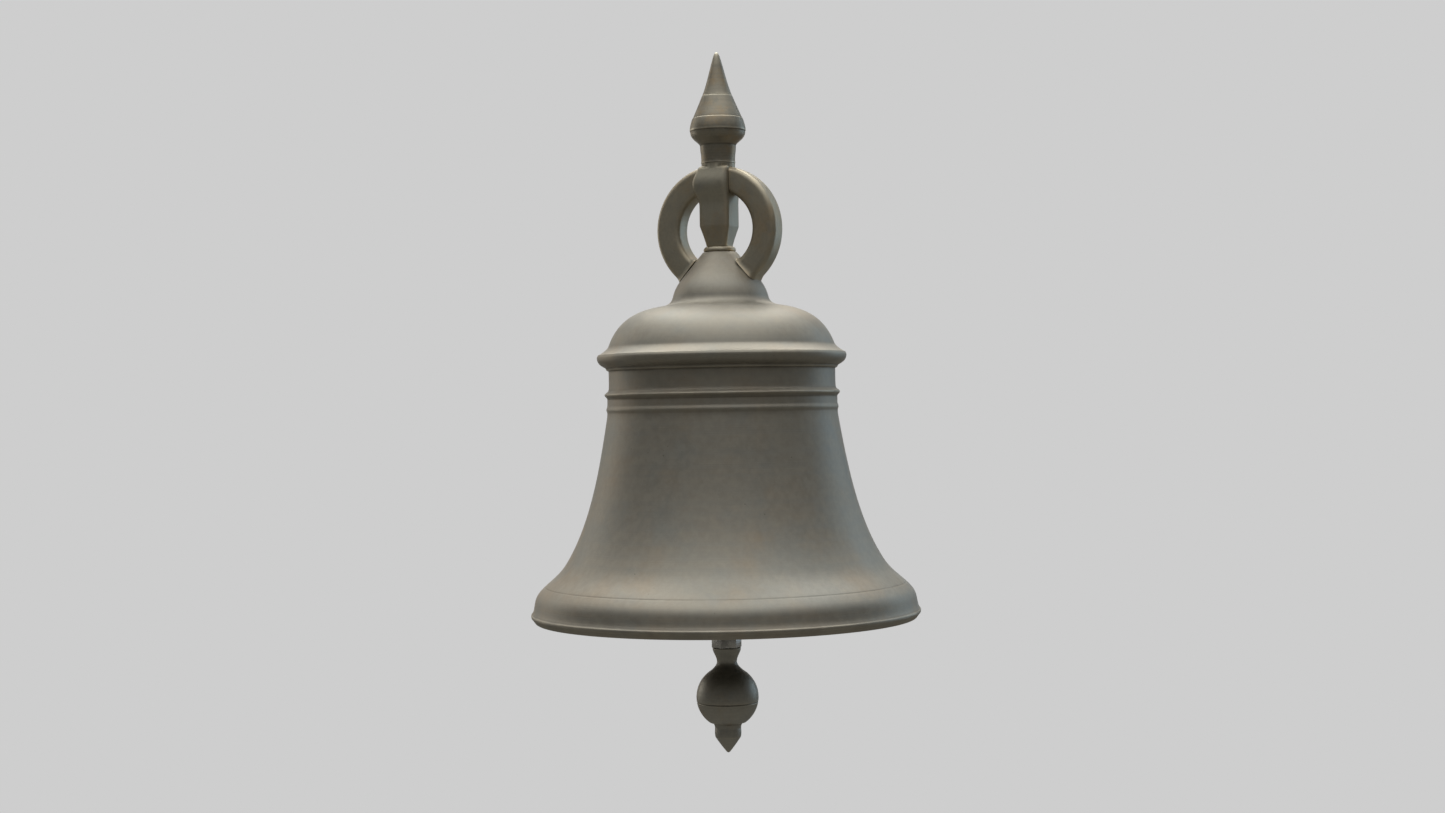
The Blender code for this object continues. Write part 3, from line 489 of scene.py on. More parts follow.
def turning_group() -> bpy.types.NodeTree:
    """Fine rings left by a sweep board or a lathe, which follow the height and the radius.

    Returns:
        The node group.
    """
    graph = new_group("turning_rings", "ShaderNodeTree", {"Pitch": 900.0, "Waver": 1.5},
                      {"Height": "NodeSocketFloat", "Streak": "NodeSocketFloat"})
    where = graph.place()
    x, y, z = graph.split(where)
    radius = graph.math("SQRT", graph.plus(graph.times(x, x), graph.times(y, y)))
    along = graph.plus(z, graph.times(radius, 0.83))
    waver = graph.times(graph.source["Waver"], 0.001)
    line = graph.plus(along, graph.times(graph.noise(where, 9.0, 1.0), waver))
    results = []
    for share, detail in ((1.0, 2.0), (0.16, 3.0)):
        pitch = graph.times(graph.source["Pitch"], share)
        feeds = {"W": graph.times(line, pitch), "Scale": 1.0, "Detail": detail}
        results.append(graph.node("ShaderNodeTexNoise", feeds, noise_dimensions="1D").outputs["Fac"])
    broken = graph.ramp(graph.noise(where, 22.0, 3.0), 0.35, 0.65)
    graph.give("Height", graph.times(results[0], broken))
    graph.give("Streak", results[1])
    return graph.tree


def pitted_group() -> bpy.types.NodeTree:
    """Height of a cast or forged skin: broad dents, a fine grain and a few small pits.

    Returns:
        The node group.
    """
    inputs = {"Dents": 60.0, "Grain": 900.0, "Pits": 150.0, "Pitting": 0.5}
    graph = new_group("pitted_skin", "ShaderNodeTree", inputs,
                      {"Height": "NodeSocketFloat", "Pit": "NodeSocketFloat"})
    given = graph.source
    where = graph.place()
    dents = graph.noise(where, given["Dents"], 3.0)
    grain = graph.times(graph.noise(where, given["Grain"], 3.0), 0.12)
    cells = graph.node("ShaderNodeTexVoronoi", {"Vector": where, "Scale": given["Pits"]})
    near = graph.ramp(cells.outputs["Distance"], 0.16, 0.04)
    rare = graph.ramp(graph.noise(where, graph.times(given["Pits"], 0.31), 2.0), 0.60, 0.70)
    pit = graph.times(graph.times(near, rare), given["Pitting"])
    graph.give("Height", graph.minus(graph.plus(dents, grain), pit))
    graph.give("Pit", pit)
    return graph.tree


def hide_group() -> bpy.types.NodeTree:
    """Leather: small cells with creases between them.

    Returns:
        The node group.
    """
    graph = new_group("hide_grain", "ShaderNodeTree", {"Cells": 900.0},
                      {"Height": "NodeSocketFloat", "Crease": "NodeSocketFloat"})
    where = graph.place()
    feeds = {"Vector": where, "Scale": graph.source["Cells"]}
    cells = graph.node("ShaderNodeTexVoronoi", feeds, feature="DISTANCE_TO_EDGE")
    crease = graph.ramp(cells.outputs["Distance"], 0.14, 0.0)
    folds = graph.noise(where, graph.times(graph.source["Cells"], 0.2), 4.0)
    graph.give("Height", graph.minus(folds, crease))
    graph.give("Crease", crease)
    return graph.tree


class Effects:
    """The shader groups, built once and placed in every material that uses them."""

    def __init__(self) -> None:
        """Builds the groups."""
        self.tarnish = tarnish_group()
        self.wear = wear_group()
        self.turning = turning_group()
        self.pitted = pitted_group()
        self.hide = hide_group()


def placed(graph: Graph, group: bpy.types.NodeTree, values: dict[str, Any]) -> bpy.types.Node:
    """Puts a group in a material.

    Args:
        graph: the material's graph.
        group: the node group.
        values: the inputs' values or the sockets linked to them.

    Returns:
        The group's node.
    """
    made = graph.node("ShaderNodeGroup")
    made.node_tree = group
    for label, value in values.items():
        graph.feed(made.inputs[label], (*value, 1.0) if isinstance(value, tuple) else value)
    return made


def new_material(name: str) -> tuple[bpy.types.Material, Graph]:
    """Starts a material and gives it with the graph of its nodes.

    Args:
        name: the material's name.

    Returns:
        The material and its graph.
    """
    made = bpy.data.materials.new(name)
    made.use_nodes = True
    return made, Graph(made.node_tree)


# ---------------------------------------------------------------- finishes
@dataclass(frozen=True)
class MetalFinish:
    """A tarnished metal, turned, cast or forged, with rubbed edges and dirty hollows."""

    name: str
    slot: Slot
    metal: Colour
    warm: Colour
    cool: Colour
    bright: Colour
    dirt: Colour = (0.020, 0.018, 0.014)
    cloud_size: float = 7.0
    cloud_strength: float = 0.5
    roughness: float = 0.42
    spread: float = 0.05
    rubbing: float = 0.6
    dirtiness: float = 0.7
    patchiness: float = 40.0
    ring_pitch: float = 900.0
    ring_height: float = 0.0
    streaks: float = 0.0
    dents: float = 60.0
    pitting: float = 0.4
    relief: float = 0.00010
    metallic: float = 1.0

    def material(self, effects: Effects) -> bpy.types.Material:
        """Builds the material.

        Args:
            effects: the shared shader groups.

        Returns:
            The material, which reads Object coordinates and the edge attributes only.
        """
        made, graph = new_material(self.name)
        shader = made.node_tree.nodes["Principled BSDF"]
        look = {"Metal": self.metal, "Warm": self.warm, "Cool": self.cool, "Size": self.cloud_size}
        look |= {"Strength": self.cloud_strength, "Roughness": self.roughness, "Spread": self.spread}
        base = placed(graph, effects.tarnish, look).outputs
        rings = placed(graph, effects.turning, {"Pitch": self.ring_pitch}).outputs
        skin = placed(graph, effects.pitted, {"Dents": self.dents, "Pitting": self.pitting}).outputs
        streak = graph.times(graph.ramp(rings["Streak"], 0.42, 0.66), self.streaks)
        tone = graph.mix(streak, base["Colour"], (*self.cool, 1.0))
        tone = graph.mix(graph.times(skin["Pit"], 0.8), tone, (*self.dirt, 1.0))
        rubbed = {"Colour": tone, "Roughness": base["Roughness"], "Bright": self.bright, "Dirt": self.dirt}
        rubbed |= {"Rubbing": self.rubbing, "Dirtiness": self.dirtiness, "Patchiness": self.patchiness}
        worn = placed(graph, effects.wear, rubbed).outputs
        graph.feed(shader.inputs["Base Color"], worn["Colour"])
        graph.feed(shader.inputs["Roughness"], worn["Roughness"])
        shader.inputs["Metallic"].default_value = self.metallic
        bump = graph.node("ShaderNodeBump")
        height = graph.math("MULTIPLY_ADD", rings["Height"], self.ring_height, skin["Height"])
        graph.feed(bump.inputs["Height"], height)
        bump.inputs["Distance"].default_value = self.relief
        graph.feed(shader.inputs["Normal"], bump.outputs["Normal"])
        return made


@dataclass(frozen=True)
class LeatherFinish:
    """Oiled leather with a grain, darker in its creases and paler where it is pinched."""

    name: str
    slot: Slot
    hide: Colour
    oiled: Colour
    dry: Colour
    cells: float = 800.0
    roughness: float = 0.62

    def material(self, effects: Effects) -> bpy.types.Material:
        """Builds the material.

        Args:
            effects: the shared shader groups.

        Returns:
            The material.
        """
        made, graph = new_material(self.name)
        shader = made.node_tree.nodes["Principled BSDF"]
        look = {"Metal": self.hide, "Warm": self.dry, "Cool": self.oiled, "Size": 70.0}
        look |= {"Strength": 0.8, "Roughness": self.roughness, "Spread": 0.10}
        base = placed(graph, effects.tarnish, look).outputs
        grain = placed(graph, effects.hide, {"Cells": self.cells}).outputs
        tone = graph.mix(graph.times(grain["Crease"], 0.6), base["Colour"], (*self.oiled, 1.0))
        rubbed = {"Colour": tone, "Roughness": base["Roughness"], "Bright": self.dry, "Dirt": self.oiled}
        worn = placed(graph, effects.wear, rubbed).outputs
        graph.feed(shader.inputs["Base Color"], worn["Colour"])
        graph.feed(shader.inputs["Roughness"], worn["Roughness"])
        bump = graph.node("ShaderNodeBump")
        graph.feed(bump.inputs["Height"], grain["Height"])
        bump.inputs["Distance"].default_value = 0.00025
        graph.feed(shader.inputs["Normal"], bump.outputs["Normal"])
        return made


BELL_BRONZE = MetalFinish(
    "aged_bell_bronze", Slot.BELL_BRONZE, metal=(0.374, 0.350, 0.302), warm=(0.402, 0.322, 0.236),
    cool=(0.310, 0.322, 0.308), bright=(0.560, 0.520, 0.420), cloud_size=9.0, cloud_strength=0.45,
    roughness=0.56, spread=0.03, metallic=0.9, rubbing=0.45, dirtiness=0.35, ring_pitch=1100.0,
    ring_height=0.5, streaks=0.16, dents=34.0, relief=0.00012)
CROWN_BRONZE = MetalFinish(
    "aged_crown_bronze", Slot.CROWN_BRONZE, metal=(0.430, 0.402, 0.328), warm=(0.450, 0.335, 0.200),
    cool=(0.335, 0.333, 0.298), bright=(0.640, 0.520, 0.350), cloud_size=26.0, cloud_strength=0.5,
    roughness=0.50, spread=0.05, metallic=0.9, rubbing=0.62, dirtiness=0.8, dents=90.0, pitting=0.5,
    relief=0.00014)
FINIAL_BRONZE = MetalFinish(
    "aged_finial_bronze", Slot.CROWN_BRONZE, metal=(0.330, 0.303, 0.248), warm=(0.400, 0.262, 0.120),
    cool=(0.225, 0.220, 0.190), bright=(0.690, 0.640, 0.520), cloud_size=30.0, cloud_strength=0.55,
    roughness=0.46, spread=0.06, metallic=0.9, rubbing=1.0, dirtiness=0.5, ring_pitch=2600.0,
    ring_height=0.7, streaks=0.30, dents=80.0, relief=0.00012)
CLAPPER_BRONZE = MetalFinish(
    "aged_clapper_bronze", Slot.CROWN_BRONZE, metal=(0.440, 0.425, 0.378), warm=(0.430, 0.330, 0.220),
    cool=(0.360, 0.362, 0.338), bright=(0.560, 0.520, 0.430), cloud_size=22.0, cloud_strength=0.55,
    roughness=0.50, spread=0.05, metallic=0.9, rubbing=0.5, dirtiness=0.45, ring_pitch=2200.0,
    ring_height=0.5, streaks=0.25, dents=70.0)
FORGED_IRON = MetalFinish(
    "forged_iron", Slot.FORGED_IRON, metal=(0.120, 0.115, 0.108), warm=(0.150, 0.092, 0.055),
    cool=(0.075, 0.075, 0.076), bright=(0.360, 0.345, 0.320), cloud_size=30.0, cloud_strength=0.7,
    roughness=0.52, spread=0.10, rubbing=0.55, patchiness=90.0, dents=110.0, pitting=0.8, relief=0.00040,
    metallic=0.9)
BRIGHT_STEEL = MetalFinish(
    "bright_steel", Slot.BRIGHT_STEEL, metal=(0.470, 0.465, 0.450), warm=(0.400, 0.345, 0.280),
    cool=(0.380, 0.390, 0.400), bright=(0.700, 0.690, 0.670), cloud_size=60.0, cloud_strength=0.5,
    roughness=0.33, spread=0.08, patchiness=160.0, ring_pitch=5200.0, ring_height=0.8, dents=160.0,
    relief=0.00006)
BUSH_BRASS = MetalFinish(
    "bush_brass", Slot.BUSH_BRASS, metal=(0.560, 0.400, 0.170), warm=(0.480, 0.290, 0.100),
    cool=(0.430, 0.340, 0.180), bright=(0.780, 0.620, 0.330), cloud_size=70.0, cloud_strength=0.6,
    roughness=0.32, spread=0.08, patchiness=160.0, ring_pitch=5200.0, ring_height=0.8, relief=0.00006)
OILED_LEATHER = LeatherFinish(
    "oiled_leather", Slot.OILED_LEATHER, hide=(0.095, 0.050, 0.026), oiled=(0.030, 0.017, 0.010),
    dry=(0.190, 0.110, 0.062))


# ---------------------------------------------------------------- geometry node trees
GEOMETRY = {"Geometry": "NodeSocketGeometry"}


def close_tree(graph: Graph, shape: bpy.types.NodeSocket) -> None:
    """Ends a geometry tree with realized instances and the material.

    Args:
        graph: the tree's graph.
        shape: the geometry it ends with.
    """
    real = graph.node("GeometryNodeRealizeInstances", {"Geometry": shape}).outputs[0]
    feeds = {"Geometry": real, "Material": graph.source["Material"]}
    dressed = graph.node("GeometryNodeSetMaterial", feeds)
    graph.give("Geometry", dressed.outputs["Geometry"])


def turned_tree() -> bpy.types.NodeTree:
    """Turns an outline about Z. It is a chain of points, with the radius as X and the height as Z.

    Returns:
        The node tree.
    """
    inputs = {**GEOMETRY, "Segments": 96, "Unevenness": 0.0, "Ripple": 14.0, "Seed": 3.0,
              "Material": "NodeSocketMaterial"}
    graph = new_group("turned_about_axis", "GeometryNodeTree", inputs, GEOMETRY)
    given = graph.source
    size = graph.node("GeometryNodeAttributeDomainSize", {"Geometry": given["Geometry"]})
    rows = graph.plus(given["Segments"], 1.0)
    feeds = {"Vertices X": size.outputs["Point Count"], "Vertices Y": rows}
    grid = graph.node("GeometryNodeMeshGrid", feeds)
    index = graph.node("GeometryNodeInputIndex").outputs[0]
    along = graph.math("FLOOR", graph.over(graph.plus(index, 0.5), rows))
    around = graph.minus(index, graph.times(along, rows))
    spots = graph.node("GeometryNodeInputPosition").outputs[0]
    feeds = {"Geometry": given["Geometry"], "Value": spots, "Index": along}
    sample = graph.node("GeometryNodeSampleIndex", feeds, data_type="FLOAT_VECTOR", domain="POINT")
    corner = graph.split(sample.outputs["Value"])
    angle = graph.over(graph.times(around, 2 * math.pi), given["Segments"])
    turn = [graph.math(kind, angle) for kind in ("COSINE", "SINE")]
    spot = graph.node("ShaderNodeCombineXYZ")
    for target, share in zip(spot.inputs, turn):
        graph.feed(target, graph.times(corner[0], share))
    graph.feed(spot.inputs[2], corner[2])
    feeds = {"Vector": spot.outputs[0], "W": given["Seed"], "Scale": given["Ripple"], "Detail": 2.0}
    wave = graph.node("ShaderNodeTexNoise", feeds, noise_dimensions="4D")
    swing = graph.times(graph.minus(wave.outputs["Fac"], 0.5), given["Unevenness"])
    shift = graph.node("ShaderNodeCombineXYZ")
    for target, share in zip(shift.inputs, turn):
        graph.feed(target, graph.times(share, swing))
    off_axis = graph.minus(1.0, graph.math("LESS_THAN", corner[0], WELD))
    feeds = {0: shift.outputs[0], "Scale": off_axis}
    held = graph.node("ShaderNodeVectorMath", feeds, operation="SCALE")
    offset = graph.node("ShaderNodeVectorMath", {0: spot.outputs[0], 1: held.outputs[0]}, operation="ADD")
    feeds = {"Geometry": grid.outputs["Mesh"], "Position": offset.outputs[0]}
    laid = graph.node("GeometryNodeSetPosition", feeds)
    feeds = {"Geometry": laid.outputs["Geometry"], "Distance": WELD}
    merged = graph.node("GeometryNodeMergeByDistance", feeds)
    close_tree(graph, merged.outputs["Geometry"])
    return graph.tree


def thread_tree() -> bpy.types.NodeTree:
    """Cuts a screw thread about Z into a rod that has close rows of points along it.

    Returns:
        The node tree.
    """
    inputs = {**GEOMETRY, "Radius": 0.006, "Depth": 0.001, "Pitch": 0.002, "Bottom": 0.0, "Top": 0.1,
              "Material": "NodeSocketMaterial"}
    graph = new_group("screw_thread", "GeometryNodeTree", inputs, GEOMETRY)
    given = graph.source
    x, y, z = graph.split(graph.node("GeometryNodeInputPosition").outputs[0])
    radius = graph.math("SQRT", graph.plus(graph.times(x, x), graph.times(y, y)))
    turn = graph.over(graph.math("ARCTAN2", y, x), 2 * math.pi)
    phase = graph.math("FRACT", graph.minus(graph.over(z, given["Pitch"]), turn))
    flank = graph.math("ABSOLUTE", graph.minus(graph.times(phase, 2.0), 1.0))
    miss = graph.math("ABSOLUTE", graph.minus(radius, given["Radius"]))
    near = graph.math("LESS_THAN", miss, 0.0002)
    low = graph.over(graph.minus(z, given["Bottom"]), given["Pitch"])
    high = graph.over(graph.minus(given["Top"], z), given["Pitch"])
    fade = graph.node("ShaderNodeClamp", {"Value": graph.math("MINIMUM", low, high)})
    groove = graph.times(graph.times(flank, given["Depth"]), near)
    groove = graph.times(groove, fade.outputs[0])
    share = graph.over(groove, graph.math("MAXIMUM", radius, 0.0001))
    shift = graph.node("ShaderNodeCombineXYZ")
    for target, value in zip(shift.inputs, (x, y)):
        graph.feed(target, graph.times(graph.times(value, share), -1.0))
    feeds = {"Geometry": given["Geometry"], "Offset": shift.outputs[0]}
    cut = graph.node("GeometryNodeSetPosition", feeds)
    close_tree(graph, cut.outputs["Geometry"])
    return graph.tree


# ---------------------------------------------------------------- meshes
def in_scene(name: str, data: bpy.types.ID) -> bpy.types.Object:
    """Makes an object of a mesh, a curve, a light or a camera, and links it into the scene.

    Args:
        name: the object's name.
        data: what it shows.

    Returns:
        The object.
    """
    made = bpy.data.objects.new(name, data)
    bpy.context.scene.collection.objects.link(made)
    return made


def mesh_of(shape: bmesh.types.BMesh, name: str) -> bpy.types.Mesh:
    """Turns a bmesh into a mesh and frees it.

    Args:
        shape: the bmesh.
        name: the mesh's name.

    Returns:
        The mesh.
    """
    mesh = bpy.data.meshes.new(name)
    shape.to_mesh(mesh)
    shape.free()
    return mesh


def lofted(name: str, sections: Sequence[Sequence[Place]]) -> bpy.types.Mesh:
    """A mesh through rings of points that all have the same count, closed at both ends.

    Args:
        name: the mesh's name.
        sections: the rings of points, in order.

    Returns:
        The mesh.
    """
    shape = bmesh.new()
    rings = [[shape.verts.new(point) for point in section] for section in sections]
    for lower, upper in zip(rings, rings[1:]):
        for i in range(len(lower)):
            j = (i + 1) % len(lower)
            shape.faces.new((lower[i], lower[j], upper[j], upper[i]))
    for ring in (rings[0], rings[-1]):
        middle = shape.verts.new(sum((v.co for v in ring), Vector()) / len(ring))
        for i in range(len(ring)):
            shape.faces.new((ring[i], ring[(i + 1) % len(ring)], middle))
    bmesh.ops.recalc_face_normals(shape, faces=shape.faces)
    return mesh_of(shape, name)


def prism(name: str, outline: Sequence[Point], base: float, top: float) -> bpy.types.Mesh:
    """A straight prism along Z."""
    return lofted(name, [[(x, y, z) for x, y in outline] for z in (base, top)])


def block(name: str, low: Place, high: Place) -> bpy.types.Mesh:
    """A box between two corners."""
    corners = [(low[0], low[1]), (high[0], low[1]), (high[0], high[1]), (low[0], high[1])]
    return prism(name, corners, low[2], high[2])


def cleaned(mesh: bpy.types.Mesh) -> bpy.types.Mesh:
    """Welds the seam and the poles, turns every face outwards and shades the mesh.

    Args:
        mesh: the mesh to clean.

    Returns:
        The same mesh.
    """
    shape = bmesh.new()
    shape.from_mesh(mesh)
    bmesh.ops.remove_doubles(shape, verts=shape.verts, dist=WELD)
    bmesh.ops.dissolve_degenerate(shape, edges=shape.edges, dist=WELD)
    bmesh.ops.recalc_face_normals(shape, faces=shape.faces)
    if shape.calc_volume(signed=True) < 0:
        bmesh.ops.reverse_faces(shape, faces=shape.faces)
    shape.to_mesh(mesh)
    shape.free()
    mesh.shade_smooth()
    mesh.set_sharp_from_angle(angle=CREASE)
    return mesh


def mark_edges(mesh: bpy.types.Mesh, sharp: float = CAST_EDGE, blur: int = 2) -> None:
    """Writes where the surface is a worn edge and where it is a hollow, from its curvature.

    Args:
        mesh: the mesh that gets the attributes worn and hollow.
        sharp: curvature in 1/m that counts as a full edge.
        blur: how many times the values spread to their neighbours.
    """
    count = len(mesh.vertices)
    spots = np.empty(count * 3, np.float64)
    normals = np.empty(count * 3, np.float64)
    pairs = np.empty(len(mesh.edges) * 2, np.int64)
    mesh.vertices.foreach_get("co", spots)
    mesh.vertex_normals.foreach_get("vector", normals)
    mesh.edges.foreach_get("vertices", pairs)
    spots, normals, pairs = spots.reshape(-1, 3), normals.reshape(-1, 3), pairs.reshape(-1, 2)
    a, b = pairs[:, 0], pairs[:, 1]
    run = spots[a] - spots[b]
    turn = np.einsum("ij,ij->i", normals[a] - normals[b], run)
    bend = turn / np.maximum(np.einsum("ij,ij->i", run, run), 1e-12)
    for label, sign in (("worn", 1.0), ("hollow", -1.0)):
        value = np.zeros(count)
        for end in (a, b):
            np.maximum.at(value, end, sign * bend)
        value = smooth_step(0.12 * sharp, sharp, value)
        weight = np.bincount(pairs.ravel(), minlength=count).clip(1)
        for _ in range(blur):
            spread = np.bincount(a, value[b], count) + np.bincount(b, value[a], count)
            value = 0.5 * value + 0.5 * spread / weight
        mesh.attributes.new(label, "FLOAT", "POINT").data.foreach_set("value", value.astype(np.float32))


class Workshop:
    """Builds meshes and hands finished pieces over to the model."""

    def __init__(self) -> None:
        """Builds the shader groups and the geometry trees."""
        self.effects = Effects()
        self.turning = turned_tree()
        self.threading = thread_tree()
        self.materials: dict[str, bpy.types.Material] = {}
        self.pieces: list[str] = []

    def material(self, finish: MetalFinish | LeatherFinish) -> bpy.types.Material:
        """The material of a finish, built when it is first asked for.

        Args:
            finish: the finish.

        Returns:
            Its material.
        """
        if finish.name not in self.materials:
            self.materials[finish.name] = finish.material(self.effects)
        return self.materials[finish.name]

    def through_tree(self, mesh: bpy.types.Mesh, tree: bpy.types.NodeTree,
                     values: dict[str, Any]) -> bpy.types.Mesh:
        """Runs a mesh through a geometry tree.

        Args:
            mesh: what goes in.
            tree: the geometry node tree.
            values: the tree's inputs by name.

        Returns:
            A plain mesh, with no modifier left.
        """
        holder = in_scene(mesh.name, mesh)
        modifier = holder.modifiers.new("shape", "NODES")
        modifier.node_group = tree
        sockets = {s.name: s.identifier for s in tree.interface.items_tree if s.in_out == "INPUT"}
        for label, value in values.items():
            modifier[sockets[label]] = value
        return self.baked(holder)

    def baked(self, holder: bpy.types.Object) -> bpy.types.Mesh:
        """Evaluates an object's modifiers into a plain mesh and removes the object.

        Args:
            holder: the object.

        Returns:
            The mesh.
        """
        graph = bpy.context.evaluated_depsgraph_get()
        made = bpy.data.meshes.new_from_object(holder.evaluated_get(graph))
        made.name = f"{holder.name}_shape"
        holder.modifiers.clear()
        bpy.data.objects.remove(holder, do_unlink=True)
        return made

    def turned(self, name: str, outline: Outline, finish: MetalFinish | LeatherFinish, segments: int = 96,
               ring: bool = False, unevenness: float = 0.0, seed: float = 3.0) -> bpy.types.Mesh:
        """Turns an outline about Z.

        Args:
            name: the mesh's name.
            outline: the outline, from axis to axis unless it is a ring.
            finish: what the piece is finished in.
            segments: sides of the turned piece.
            ring: True if the outline closes on itself.
            unevenness: how far the surface strays from round, in metres.
            seed: which wander the surface takes.

        Returns:
            The mesh.
        """
        points = outline.points + (outline.points[:1] if ring else [])
        chain = bpy.data.meshes.new(name)
        chain.from_pydata([(r, 0.0, z) for r, z in points], [(i, i + 1) for i in range(len(points) - 1)], [])
        values = {"Segments": segments, "Unevenness": unevenness, "Seed": seed}
        values["Material"] = self.material(finish)
        return cleaned(self.through_tree(chain, self.turning, values))

    def threaded(self, mesh: bpy.types.Mesh, finish: MetalFinish, radius: float, pitch: float,
                 bottom: float, top: float) -> bpy.types.Mesh:
        """Cuts a thread about Z into a mesh between two heights."""
        values = {"Radius": radius, "Depth": 0.55 * pitch, "Pitch": pitch, "Bottom": bottom, "Top": top}
        return self.through_tree(mesh, self.threading, {**values, "Material": self.material(finish)})

    def combined(self, mesh: bpy.types.Mesh, steps: Iterable[tuple[str, bpy.types.Mesh]],
                 round_over: float = 0.0, sides: int = 2) -> bpy.types.Mesh:
        """Joins and cuts a mesh with others, and rounds the edges that are left.

        Args:
            mesh: the mesh to work on.
            steps: each Boolean operation with the mesh that it uses.
            round_over: width of the rounding.
            sides: sides of the rounding.

        Returns:
            The finished mesh.
        """
        holder = in_scene(mesh.name, mesh)
        tools = []
        for operation, tool_mesh in steps:
            tool = in_scene(tool_mesh.name, tool_mesh)
            modifier = holder.modifiers.new(operation, "BOOLEAN")
            modifier.operation, modifier.solver, modifier.object = operation, "EXACT", tool
            tools.append(tool)
        if round_over:
            bevel = holder.modifiers.new("round_over", "BEVEL")
            bevel.width, bevel.segments, bevel.limit_method = round_over, sides, "ANGLE"
            bevel.angle_limit = CREASE
        made = self.baked(holder)
        for tool in tools:
            bpy.data.objects.remove(tool, do_unlink=True)
        return cleaned(made)

    def hand_over(self, mesh: bpy.types.Mesh, node: str, finish: MetalFinish | LeatherFinish, body: Body,
                  sharp: float = CAST_EDGE) -> bpy.types.Object:
        """Puts a mesh in the scene as the finished piece that stands for a node.

        Args:
            mesh: the finished mesh, in place.
            node: the working model's node.
            finish: its finish.
            body: what it moves with.
            sharp: curvature that counts as a full edge, for its wear.

        Returns:
            The piece.
        """
        mark_edges(mesh, sharp)
        mesh.materials.clear()
        mesh.materials.append(self.material(finish))
        piece = in_scene(f"fine_{node}", mesh)
        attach(piece, body.value)
        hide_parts(node)
        self.pieces.append(piece.name)
        LOG.info("%s: %d faces, %s", piece.name, len(mesh.polygons), finish.name)
        return piece


# ---------------------------------------------------------------- bell casting
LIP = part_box("bell_casting")[0].z  # heights in the classes below are measured up from here
PIVOT = frame["joints"][0]["pos_m"][2] - LIP
BORE = 0.0063  # clearance bore for the crown staple's bolt


def from_lip(outline: Outline) -> Outline:
    """Moves an outline drawn in heights above the lip to its place."""
    moved = [(radius, height + LIP) for radius, height in outline.points]
    return Outline(moved[0]).line(*moved[1:])


